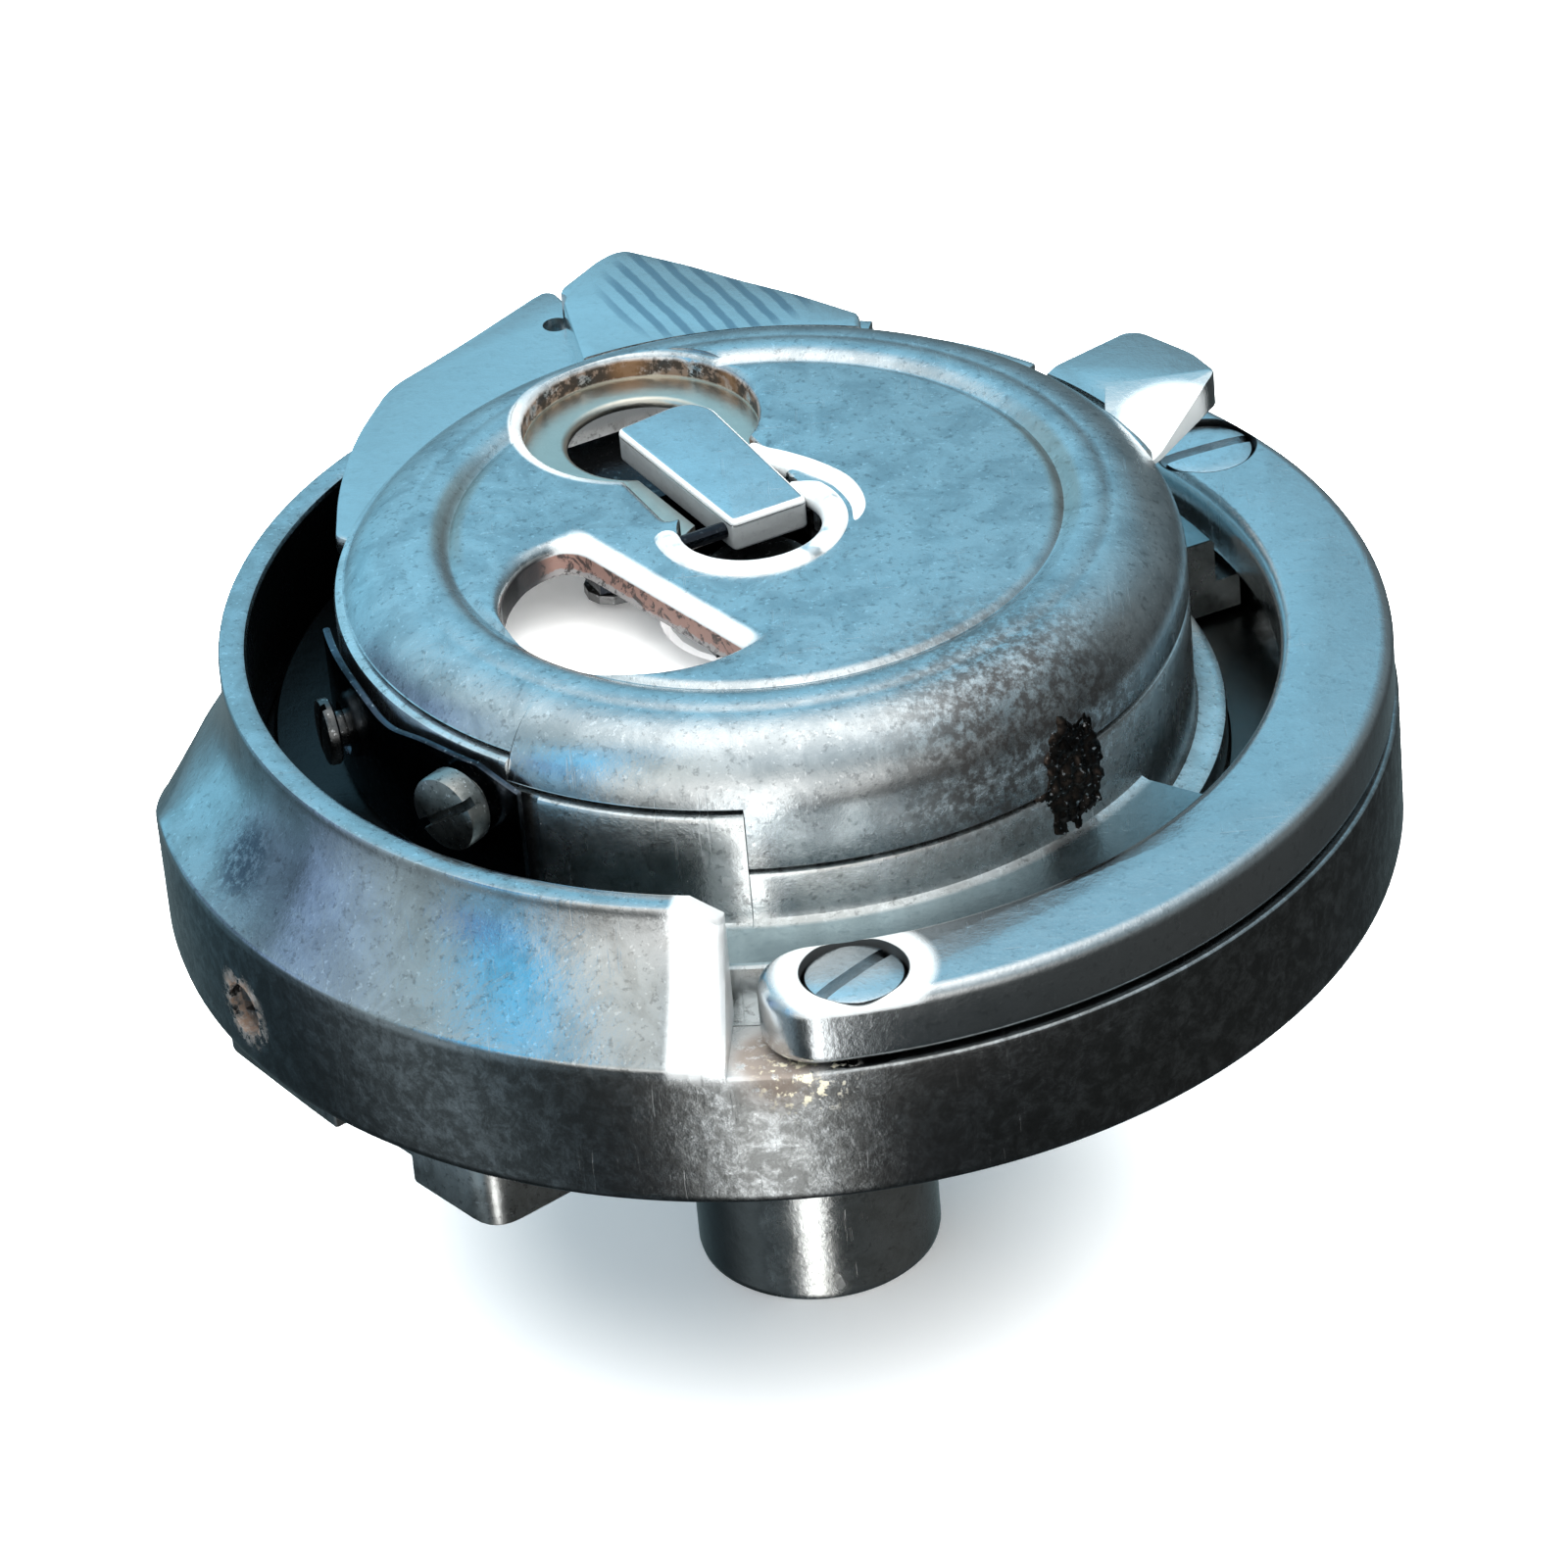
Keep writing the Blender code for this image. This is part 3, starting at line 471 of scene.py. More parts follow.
class Graph:
    """Short forms for wiring a node tree."""

    def __init__(self, tree):
        self.tree = tree
        self.coords = self.node("ShaderNodeTexCoord")

    def node(self, kind, **settings):
        node = self.tree.nodes.new(kind)
        for key, value in settings.items():
            setattr(node, key, value)
        return node

    def link(self, value, socket):
        if isinstance(value, bpy.types.NodeSocket):
            self.tree.links.new(value, socket)
        else:
            socket.default_value = value

    def scaled(self, scale):
        """Object coordinates in features per millimetre along each axis."""
        mapping = self.node("ShaderNodeMapping")
        self.link(self.coords.outputs["Object"], mapping.inputs["Vector"])
        mapping.inputs["Scale"].default_value = [s / MM for s in scale]
        return mapping.outputs["Vector"]

    def noise(self, scale, detail=4.0, roughness=0.55, distortion=0.0, vector=None):
        node = self.node("ShaderNodeTexNoise")
        scale = scale if isinstance(scale, tuple) else (scale, scale, scale)
        self.link(vector or self.scaled(scale), node.inputs["Vector"])
        node.inputs["Scale"].default_value = 1.0
        node.inputs["Detail"].default_value = detail
        node.inputs["Roughness"].default_value = roughness
        node.inputs["Distortion"].default_value = distortion
        return node.outputs["Fac"]

    def math(self, operation, a, b=0.0, c=0.0, clamp=False):
        node = self.node("ShaderNodeMath", operation=operation, use_clamp=clamp)
        for value, socket in zip((a, b, c), node.inputs):
            self.link(value, socket)
        return node.outputs[0]

    def span(self, value, low, high, to_low=0.0, to_high=1.0):
        """Smooth step from low to high."""
        node = self.node("ShaderNodeMapRange", interpolation_type="SMOOTHSTEP")
        for item, socket in zip((value, low, high, to_low, to_high), node.inputs):
            self.link(item, socket)
        return node.outputs[0]

    def mix(self, share, a, b):
        node = self.node("ShaderNodeMix", data_type="RGBA")
        self.link(share, node.inputs["Factor"])
        colours = [s for s in node.inputs if s.type == "RGBA"]
        for value, socket in zip((a, b), colours):
            if isinstance(value, tuple):
                socket.default_value = (*value, 1.0)
            else:
                self.link(value, socket)
        return [s for s in node.outputs if s.type == "RGBA"][0]

    def lerp(self, share, a, b):
        node = self.node("ShaderNodeMix", data_type="FLOAT")
        for item, socket in zip((share, a, b), (node.inputs[0], node.inputs[2], node.inputs[3])):
            self.link(item, socket)
        return node.outputs[0]

    def both(self, *masks):
        """Product of masks."""
        result = masks[0]
        for mask in masks[1:]:
            result = self.math("MULTIPLY", result, mask)
        return result

    def place(self):
        """Object position in millimetres: x, y, z."""
        split = self.node("ShaderNodeSeparateXYZ")
        self.link(self.scaled((1.0, 1.0, 1.0)), split.inputs[0])
        return split.outputs

    def height(self, low, high):
        """Smooth step from a height in millimetres to another."""
        return self.span(self.place()[2], low, high)

    def radius(self, centre=(0.0, 0.0)):
        """Distance in millimetres from a vertical axis."""
        x, y, _ = self.place()
        dx = self.math("SUBTRACT", x, centre[0])
        dy = self.math("SUBTRACT", y, centre[1])
        return self.math("SQRT", self.math("MULTIPLY_ADD", dx, dx, self.math("MULTIPLY", dy, dy)))

    def ring(self, centre, radius, half):
        """1 on a vertical cylinder wall, 0 further from it than twice its half thickness."""
        off = self.math("ABSOLUTE", self.math("SUBTRACT", self.radius(centre), radius))
        return self.span(off, half, 2.0 * half, 1.0, 0.0)

    def near(self, point, low, high):
        """1 within the first distance of a point in millimetres, 0 beyond the second."""
        node = self.node("ShaderNodeVectorMath", operation="DISTANCE")
        self.link(self.scaled((1.0, 1.0, 1.0)), node.inputs[0])
        node.inputs[1].default_value = point
        return self.span(node.outputs["Value"], low, high, 1.0, 0.0)

    def bump(self, height, strength, distance):
        node = self.node("ShaderNodeBump")
        node.inputs["Strength"].default_value = strength
        node.inputs["Distance"].default_value = distance * MM
        self.link(height, node.inputs["Height"])
        return node.outputs["Normal"]


def new_material(name):
    """Material, its Principled shader and a graph on its tree."""
    material = bpy.data.materials.new(name)
    material.use_nodes = True
    return material, material.node_tree.nodes["Principled BSDF"], Graph(material.node_tree)


def steel(name, light, dark, rough, dirt, speckle, stains_and_light=()):
    """Worn steel: blotches, fine dark and bright speckle, sparse scratches and an orange-peel grain.

    Each stain is (mask maker, colour, share, roughness) and covers what its mask picks out; some of them
    are painted highlights, shade and reflections instead of stains.
    """
    material, shader, g = new_material(name)
    blotch = g.span(g.noise(0.55, 6.0, 0.68, 0.5), 0.40, 0.64)
    fine = g.span(g.noise(3.2, 3.0, 0.7), 0.55, 0.68)
    glint = g.span(g.noise(4.4, 2.0, 0.6), 0.62, 0.70)
    sparse = g.span(g.noise(0.3, 2.0), 0.50, 0.62)
    hair_a = g.span(g.noise((7.0, 0.5, 0.3), 2.0, 0.5), 0.64, 0.69)
    hair_b = g.span(g.noise((0.5, 6.0, 0.5), 2.0, 0.5), 0.65, 0.70)
    hair = g.math("MULTIPLY", g.math("MAXIMUM", hair_a, hair_b), sparse)
    colour = g.mix(g.math("MULTIPLY", blotch, dirt), light, dark)
    colour = g.mix(g.math("MULTIPLY", fine, speckle), colour, tuple(0.35 * c for c in dark))
    colour = g.mix(g.math("MULTIPLY", glint, speckle), colour, (0.95, 0.97, 0.98))
    worn = g.math("MULTIPLY_ADD", g.noise(0.9, 4.0), rough * 0.7, rough * 0.62)
    worn = g.math("MULTIPLY_ADD", hair, SCRATCH * 0.4, worn)
    metal = 1.0
    for mask_maker, tint, share, mark_rough in stains_and_light:
        mask = g.math("MULTIPLY", mask_maker(g), share)
        colour = g.mix(mask, colour, tint)
        worn = g.lerp(mask, worn, mark_rough)
        if mark_rough >= DULL:
            metal = g.lerp(mask, metal, 0.25)
    peel = g.math("MULTIPLY", g.noise(1.6, 6.0, 0.7), GRAIN)
    normal = g.bump(g.math("MULTIPLY_ADD", hair, -0.3 * SCRATCH, peel), 0.4, 0.1)
    results = {"Base Color": colour, "Roughness": worn, "Metallic": metal, "Normal": normal}
    for socket, value in results.items():
        g.link(value, shader.inputs[socket])
    return material


def patch(point, reach, grain, cut_off):
    """Mask maker of a ragged patch round a point."""
    def mask(g):
        return g.both(g.near(point, *reach), g.span(g.noise(*grain), *cut_off))
    return mask


brown_haze = patch((8.5, -11.5, 28.3), (2.5, 7.5), (2.6, 6.0, 0.75), (0.36, 0.60))
cone_patch = patch((*polar(20.6, -154.5), 24.6), (0.7, 2.0), (2.6, 5.0, 0.75), (0.36, 0.56))
# Beige spots by the gib's foot: dried oil, painted pale as highlights.
dried_oil_and_highlight = patch((*polar(21.6, -90.0), PARTING_Z), (0.8, 2.2), (2.4, 4.0, 0.7), (0.54, 0.60))
plug_rust = patch((*polar(HOOK_R, PLUG[0]), PLUG[1]), (0.9, 1.7), (1.6, 4.0, 0.7), (0.40, 0.60))
# Dark brown patch on the low wall: rust, and a painted dark reflection.
low_wall_rust_and_reflection = patch((*polar(21.0, -92.5), PARTING_Z), (1.1, 2.2), (2.0, 4.0, 0.7), (0.30, 0.46))


def recess_wall(g):
    """Wall of the latch recess."""
    deep = g.both(g.height(RECESS_Z + 0.02, RECESS_Z + 0.12), g.height(CAP_TOP - 0.1, CAP_TOP - 0.3))
    return g.both(g.ring(RECESS_C, RECESS_R[1], 0.25), deep)


def recess_rust(g):
    """Brown patches on the wall of the latch recess."""
    return g.both(recess_wall(g), g.span(g.noise(0.9, 4.0, 0.6), 0.30, 0.46))


def recess_oil(g):
    """Black patches on the wall of the latch recess."""
    return g.both(recess_wall(g), g.span(g.noise(1.6, 5.0, 0.75), 0.46, 0.54))


def recess_orange(g):
    """Orange spots at the far side of the latch recess."""
    left = g.near((-4.1, 11.8, 30.7), 0.3, 1.0)
    right = g.near((-0.7, 10.1, 30.7), 0.3, 0.8)
    return g.both(recess_wall(g), g.math("MAXIMUM", left, right))


def recess_shelf(g):
    """Stained shelf of the latch recess and the pocket round the lever."""
    near = g.near((RECESS_C[0] + 0.8, RECESS_C[1] - 1.6, RECESS_Z), 6.0, 6.6)
    level = g.height(RECESS_Z + 0.3, RECESS_Z + 0.1)
    return g.both(level, near, g.height(CAP_PLATE - 0.1, CAP_PLATE + 0.1))


def latch_edge_highlight(g):
    """Painted highlight on the edge of the plate round the latch recess."""
    near = g.near((-6.4, 6.6, CAP_TOP), 1.6, 5.2)
    return g.both(g.ring(RECESS_C, RECESS_R[1] + 0.22, 0.16), near, g.height(CAP_TOP - 0.4, CAP_TOP - 0.15))


def lever_side(g):
    """Dull sides of the lever, below its bright bevel."""
    return g.height(LEVER_Z[1] - 0.2, LEVER_Z[1] - 0.4)


def lever_edge_highlight(g):
    """Painted highlight on the bevel round the top of the lever."""
    top = LEVER_Z[1]
    return g.both(g.height(top - 0.24, top - 0.18), g.height(top - 0.005, top - 0.03))


def ring_highlight_patches(g):
    """Pale patches painted as highlights."""
    return g.span(g.noise(0.8, 3.0), 0.28, 0.50)


def window_side(g, low, high):
    """Band along the window's chord, between two distances from the axis."""
    x, y, _ = g.place()
    normal = polar(1.0, CHORD_AZ)
    across = g.math("MULTIPLY_ADD", x, normal[0], g.math("MULTIPLY", y, normal[1]))
    return g.both(g.span(across, low - 0.2, low + 0.2), g.span(across, high + 0.2, high - 0.2))


def window_roll_highlight(g):
    """Painted highlight on the roll of the plate into the window along its chord."""
    near = g.near((*WINDOW_C, CAP_TOP), 4.4, 5.3)
    level = g.height(CAP_TOP - 0.46, CAP_TOP - 0.36)
    return g.both(window_side(g, CHORD - 0.55, CHORD + 0.7), level, near)


def window_rust(g):
    """Cut edge of the window along its chord."""
    near = g.near((*WINDOW_C, CAP_TOP - 0.5), 5.4, 6.2)
    deep = g.height(CAP_TOP - 0.38, CAP_TOP - 0.46)
    return g.both(window_side(g, CHORD - 0.4, CHORD + 2.4), deep, near)


def window_cracks(g):
    """Black cracks in the rust of the window's cut edge."""
    return g.both(window_rust(g), g.span(g.noise(1.7, 5.0, 0.75, 0.8), 0.50, 0.57))


def window_grey(g):
    """Bare lower strip of the window's cut edge."""
    ragged = g.math("MULTIPLY_ADD", g.noise(1.2, 4.0, 0.7), 0.9, CAP_PLATE - 0.25)
    level = g.span(g.math("SUBTRACT", g.place()[2], ragged), 0.06, 0.0)
    return g.both(window_rust(g), level)


def window_shadow(g):
    """Painted black shadow at the left end of the window's cut edge."""
    spot = g.near((WINDOW_C[0] - 4.7, WINDOW_C[1] + 2.0, CAP_PLATE + 0.5), 1.5, 2.3)
    return g.both(spot, g.height(CAP_TOP - 0.15, CAP_TOP - 0.4))


def brown_crease(g):
    """Faint brown tint in the crease of the cap at both sides."""
    right = g.near((10.6, 1.5, CAP_TOP), 2.0, 5.5)
    left = g.near((-9.8, 2.0, CAP_TOP), 1.5, 4.5)
    return g.both(g.math("MAXIMUM", right, left), g.ring((0.0, 0.0), 10.9, 0.35))


def lug_top(g):
    """Bright milled tops of the lugs."""
    return g.both(g.span(g.place()[1], 4.0, 5.0), g.height(28.0, 28.3))


def mill_marks(g):
    """Slanting tool marks on the pointed lug."""
    x, y, _ = g.place()
    wobble = g.math("MULTIPLY", g.noise(0.5, 3.0), 2.4)
    phase = g.math("MULTIPLY_ADD", x, 7.6, g.math("MULTIPLY_ADD", y, 3.4, wobble))
    wave = g.span(g.math("SINE", phase), -0.2, 0.7)
    return g.both(wave, g.near((-0.8, 18.6, POINTED_Z[1]), 3.4, 4.6))


def stop_slope_highlight(g):
    """Painted highlight on the slope at the front of the stop lug."""
    return g.near((15.3, 7.2, 28.6), 1.7, 2.5)


def inside_wall(g):
    """Everything inside the tall wall's inner face."""
    return g.span(g.radius(), RIM_R[0] + 0.25, RIM_R[0] + 0.05)


def cavity_oil_and_shade(g):
    """Everything between the tall wall and the case, painted dark as oil and as shade."""
    return g.both(inside_wall(g), g.height(RIM_Z, RIM_Z - 0.3))


def left_side(g):
    return g.span(g.place()[0], -9.0, -11.0)


def floor_oil_and_shade(g):
    """Oil pooled on the hook's floor at the left, painted black as shade too."""
    return g.both(left_side(g), g.height(23.4, 23.0), inside_wall(g))


def case_oil_and_shade(g):
    """Oil and painted shade on the left side of the case, under the leaf spring."""
    return g.both(left_side(g), g.height(27.6, 26.6))


def flange_reflection(g):
    """Teal reflection painted on the top of the flange."""
    above = g.height(FLANGE_Z - 0.10, FLANGE_Z - 0.03)
    below = g.height(FLANGE_Z + 0.12, FLANGE_Z + 0.04)
    return g.both(above, below, g.span(g.radius(), 15.3, 15.6))


def shaft_left_dark(g):
    """Left side of the shaft darker, with a ragged edge."""
    ragged = g.math("MULTIPLY_ADD", g.noise(1.2, 4.0, 0.7), 1.6, -0.8)
    return g.span(g.math("ADD", g.place()[0], ragged), -1.1, -2.2)


def low_wall_grime(g):
    """Dull film on the hook's lower wall, with darker blotches."""
    return g.both(g.height(23.05, 22.75), g.span(g.noise(1.5, 6.0, 0.75, 0.4), 0.34, 0.60, 0.45, 1.0))


def facet_glare(g):
    """Painted glare on the flat at the front end of the tall wall."""
    x, y, _ = g.place()
    azimuth = g.math("MULTIPLY", g.math("ARCTAN2", y, x), 180.0 / math.pi)
    edge = WALL_AZ[1] - FACET[0] - 360.0
    band = g.both(g.span(azimuth, edge - 0.5, edge + 0.5), g.span(azimuth, -90.0, -96.0))
    return g.both(band, g.height(22.4, 23.6))


def gib_screw_distance(g, number):
    """Distance in millimetres from the axis of a gib screw."""
    _, azimuth, radius, _ = GIB_SCREWS[number]
    return g.radius(polar(radius, azimuth))


def screw_halo_highlight(g):
    """Painted highlight on the gib round the front screw, where it is polished."""
    halo = g.span(gib_screw_distance(g, 0), 2.4, 3.0, 1.0, 0.0)
    return g.both(g.height(GIB_Z[1] - 0.5, GIB_Z[1] - 0.3), halo)


def sink_black(g):
    """Black in the sinks of both gib screws."""
    edge = GIB_SINK[0]
    front, back = (g.span(gib_screw_distance(g, k), edge + 0.05, edge + 0.01) for k in (0, 1))
    return g.math("MAXIMUM", front, back)


# ---------------------------------------------------------------- hook

def ridge_height(azimuth):
    return interpolate(RIDGE, azimuth % 360.0)


def tall_outline(azimuth):
    """Upper outside of the tall wall with its hollow conical band, as a fixed count of points."""
    azimuth %= 360.0
    ridge = ridge_height(azimuth)
    drop = RIDGE_TOP - ridge
    rim = RIM_Z - 0.2 * max(0.0, azimuth - 259.5)
    straight = min(1.0, max(0.0, (azimuth - CONE_AZ[0]) / (CONE_AZ[1] - CONE_AZ[0])))
    band = [(HOOK_R - 0.1, ridge + 0.02)]
    for (r, z, share), (front_r, front_z) in zip(CONE, CONE_FRONT):
        band.append((r + (front_r - r) * straight, z + (front_z - z) * straight - drop * share))
    curve = smooth_line([*band, (RIM_R[1], rim - 0.25)], 16)
    span, depth, edge = FACET
    along = min(1.0, max(0.0, (azimuth - WALL_AZ[1] + span) / span))
    inward = depth * along + edge * max(0.0, (along - 0.86) / 0.14) ** 2
    curve = [(r - inward * min(1.0, max(0.0, z - PARTING_Z + 0.3)), z) for r, z in curve]
    corner = [(HOOK_R, ridge - 0.2), (HOOK_R - 0.01, ridge - 0.1), (HOOK_R - 0.045, ridge - 0.03)]
    return [*corner, *curve, *edge_between(curve[-1], rim), (RIM_R[0], PARTING_Z)]


def edge_between(last, rim):
    """Rounded top of the rim."""
    outer, inner = last[0], RIM_R[0]
    return [
        (outer, rim - 0.12), (outer - 0.05, rim - 0.03), (outer - 0.14, rim), (inner + 0.22, rim),
        (inner + 0.08, rim - 0.04), (inner, rim - 0.16),
    ]


def low_outline():
    """Flat top of the low wall, with as many points as the tall wall."""
    corner = [(HOOK_R, PARTING_Z - 0.2), (HOOK_R - 0.03, PARTING_Z - 0.08),
              (HOOK_R - 0.1, PARTING_Z - 0.02)]
    count = 23
    first, last = HOOK_R - 0.2, RACE_R + 0.15
    flat = [(first + (last - first) * k / (count - 1), PARTING_Z - 0.0005 * k) for k in range(count)]
    return corner + flat


def hook_outline(azimuth):
    tall = in_sector(azimuth, *WALL_AZ)
    upper = tall_outline(azimuth) if tall else low_outline()
    return [
        (BORE_R, HOOK_Z), (HOOK_R - 0.5, HOOK_Z), (HOOK_R - 0.2, HOOK_Z + 0.08),
        (HOOK_R - 0.06, HOOK_Z + 0.24), (HOOK_R, HOOK_Z + 0.5), *upper,
        (RACE_R, PARTING_Z - 0.15), (RACE_R, RACE_Z), (WELL_R, RACE_Z), (WELL_R, HOOK_FLOOR_Z),
        (BORE_R, HOOK_FLOOR_Z),
    ]


def make_hook_body():
    stations = stepped_stations(hook_outline, WALL_AZ)
    fine = [WALL_AZ[1] - 0.4 - 0.35 * k for k in range(14)]
    stations += [(a, hook_outline(a)) for a in fine if all(abs(a - s[0]) > 0.02 for s in stations)]
    body = sweep("hook_body_fine", sorted(stations))
    beak = []
    for azimuth, low, high, outer in BEAK:
        corners = ((BEAK_IN_R, low), (outer, low), (outer, high), (BEAK_IN_R, high))
        beak.append([(*polar(r, azimuth), z) for r, z in corners])
    join(body, loft("beak", beak))
    holes = [rod_cutter(radial_matrix(*PLUG[:2]), PLUG[2] + 0.15, 19.6, HOOK_R + 1.0)]
    for _, azimuth, radius, _ in GIB_SCREWS:
        holes.append(hole_cutter(1.0, polar(radius, azimuth), 19.4, PARTING_Z + 1.0))
    return cut(body, *holes)


def make_carrier():
    turn = Matrix.Rotation(math.radians(CARRIER_AZ), 4, "Z")
    length, half = CARRIER_HALF
    corners = [(-length, -half, 0.5), (length - 0.3, -half, 0.6), (length, 0.0, 12.0),
               (length - 0.3, half, 1.2), (-length, half, 0.5)]
    bar = prism("hook_carrier_fine", fillet(corners, 6), *CARRIER_Z, turn)
    start, low, high = CHANNEL
    groove = [(start, low), (length + 1.0, low), (length + 1.0, high), (start, high)]
    channel = prism("cutter", groove, CARRIER_Z[0] - 1.0, CARRIER_Z[0] + CHANNEL_DEPTH, turn)
    cut(bar, channel, hole_cutter(BORE_R, (0.0, 0.0), CARRIER_Z[0] - 1.0, CARRIER_Z[1] + 1.0))
    return bevel(bar, 0.18, 2)


def make_shaft():
    shoulder = CARRIER_Z[0] - 0.3
    outline = [
        (0.0, 0.0), (SHAFT_R - 0.45, 0.0), (SHAFT_R - 0.2, 0.06), (SHAFT_R - 0.06, 0.2), (SHAFT_R, 0.45),
        (SHAFT_R, shoulder), (NECK_R, shoulder), (NECK_R, HOOK_FLOOR_Z - 0.2),
        (NECK_R - 0.2, HOOK_FLOOR_Z), (0.0, HOOK_FLOOR_Z),
    ]
    return turned("hook_shaft_fine", outline, 96)


def make_gib():
    inner, outer = GIB_R
    middle = (inner + outer) / 2.0
    half = (outer - inner) / 2.0
    start, end = GIB_AZ
    outline = arc(outer, start, end)
    outline += arc(half, end, end + 180.0, polar(middle, end), 9.0)[1:-1]
    outline += arc(inner, end, start)
    outline += arc(half, start + 180.0, start + 360.0, polar(middle, start), 9.0)[1:-1]
    gib = bevel(prism("hook_gib_fine", outline, *GIB_Z), GIB_ROUND, 5)
    holes = []
    for _, azimuth, radius, _ in GIB_SCREWS:
        centre = polar(radius, azimuth)
        holes.append(hole_cutter(1.05, centre, GIB_Z[0] - 1.0, GIB_Z[1] + 1.0))
        holes.append(hole_cutter(GIB_SINK[0], centre, GIB_SINK[1], GIB_Z[1] + 1.0))
    return cut(gib, *holes)


def make_slotted_screw(name, matrix, radii, shank, head, slot):
    """Slotted screw with a rounded head edge and a slightly domed face."""
    shank_r, head_r = radii
    dome = 0.1
    top = head[1]
    outline = [
        (0.0, shank[0]), (shank_r, shank[0]), (shank_r, shank[1]), (head_r - 0.08, head[0]),
        (head_r, head[0] + 0.08), (head_r, top - 0.2), (head_r - 0.05, top - 0.09),
        (head_r - 0.16, top - 0.03 - 0.3 * dome),
        (head_r * 0.6, top - 0.12 * dome), (head_r * 0.3, top - 0.03 * dome), (0.0, top),
    ]
    screw = turned(name, outline, 48, matrix)
    width, depth, angle = slot
    reach = head_r + 1.0
    half = width / 2.0
    box = [(-reach, -half), (reach, -half), (reach, half), (-reach, half)]
    spin = matrix @ Matrix.Rotation(math.radians(angle), 4, "Z")
    return cut(screw, prism("cutter", box, top - depth, top + 1.0, spin))


# ---------------------------------------------------------------- case

def seam_height(azimuth):
    for (start, height), (end, _) in zip(SEAM, SEAM[1:] + SEAM[:1]):
        if in_sector(azimuth, start, end):
            return height
    return SEAM[0][1]


def case_outline(azimuth):
    outer = PROUD_R if in_sector(azimuth, *PROUD_AZ) else CASE_R
    top = seam_height(azimuth) - SEAM_GAP
    lip = LIP_Z
    if in_sector(azimuth, *THREAD_AZ):
        top = THREAD_Z[0]
        lip = top
    flange = [(RIB_R, RIB_Z[0]), (RIB_R, RIB_Z[1]), (FLANGE_R, RIB_Z[1]), (FLANGE_R, FLANGE_Z - 0.15),
              (FLANGE_R - 0.15, FLANGE_Z), (outer + 0.35, FLANGE_Z), (outer + 0.1, FLANGE_Z + 0.1),
              (outer, FLANGE_Z + 0.35)]
    if in_sector(azimuth, *CUTAWAY_AZ):
        flange = [(CUTAWAY_R, RIB_Z[0]), (CUTAWAY_R, CUTAWAY_Z - 0.2), (CUTAWAY_R - 0.05, CUTAWAY_Z - 0.06),
                  (CUTAWAY_R - 0.2, CUTAWAY_Z), (outer + 0.7, CUTAWAY_Z + 0.01),
                  (outer + 0.35, CUTAWAY_Z + 0.03), (outer + 0.1, CUTAWAY_Z + 0.12),
                  (outer, CUTAWAY_Z + 0.35)]
    return [
        (POST_R + 0.1, CASE_Z), (CASE_R - 0.3, CASE_Z), (CASE_R, CASE_Z + 0.3), (CASE_R, RIB_Z[0]), *flange,
        (outer, top - 0.2), (outer - 0.05, top - 0.07), (outer - 0.2, top), (LIP_R + 0.1, top),
        (LIP_R, lip), (CASE_IN_R, lip), (CASE_IN_R, CASE_FLOOR_Z), (POST_R + 0.1, CASE_FLOOR_Z),
    ]


def trim_lug(lug):
    radius, low = TRIM
    return cut(lug, hole_cutter(radius, (0.0, 0.0), low, low + 3.0, 180))


def make_shelf_lug():
    corners = [(-14.2, 4.4, 0), (-15.0, 5.0, 0.3), (-14.9, 8.0, 3.0), (-14.3, 11.6, 3.0),
               (-12.95, 15.1, 1.5), (-11.6, 16.4, 0.8), (-10.0, 18.0, 0.8), (-7.5, 20.7, 0.35),
               (-7.1, 21.05, 0.3), (-6.7, 20.9, 0.3), (-6.4, 20.3, 0.3), (-5.8, 18.3, 0), (-4.6, 13.5, 0)]
    outline = fillet(corners, 5) + arc(14.2, 110.0, 160.0)
    return bevel(prism("lug", outline, *SHELF_Z), 0.12, 2)


def make_pointed_lug():
    corners = [(-5.6, 13.0, 0), (-6.3, 17.9, 0.4), (-6.45, 19.2, 0.3), (-5.0, 21.1, 0.5), (-4.4, 21.6, 0.4),
               (-3.9, 21.7, 0.4), (-1.7, 20.25, 0.5), (0.3, 18.7, 0.4), (2.3, 17.3, 0.4), (4.45, 15.5, 0.2),
               (4.5, 13.6, 0), (0.0, 14.2, 0)]
    return trim_lug(bevel(prism("lug", fillet(corners, 4), *POINTED_Z), 0.15, 2))


def make_stop_lug():
    corners = [(13.3, 4.9, 0), (14.6, 6.0, 0.3), (16.7, 9.2, 0.3), (17.0, 9.6, 0.3), (16.3, 11.0, 0.4),
               (14.6, 12.8, 0.4), (14.0, 12.9, 0.3), (11.3, 11.0, 0.2), (10.4, 9.7, 0), (12.2, 7.4, 0)]
    lug = bevel(prism("lug", fillet(corners, 4), *STOP_Z), 0.12, 2)
    wedge = [(13.0, 9.45, 29.75), (16.9, 9.75, 29.75), (17.6, 8.0, 28.9), (14.6, 5.2, 28.2),
             (12.6, 5.2, 28.5)]
    tool = loft("cutter", [wedge, [(x, y, z + 4.0) for x, y, z in wedge]])
    return trim_lug(cut(lug, tool))


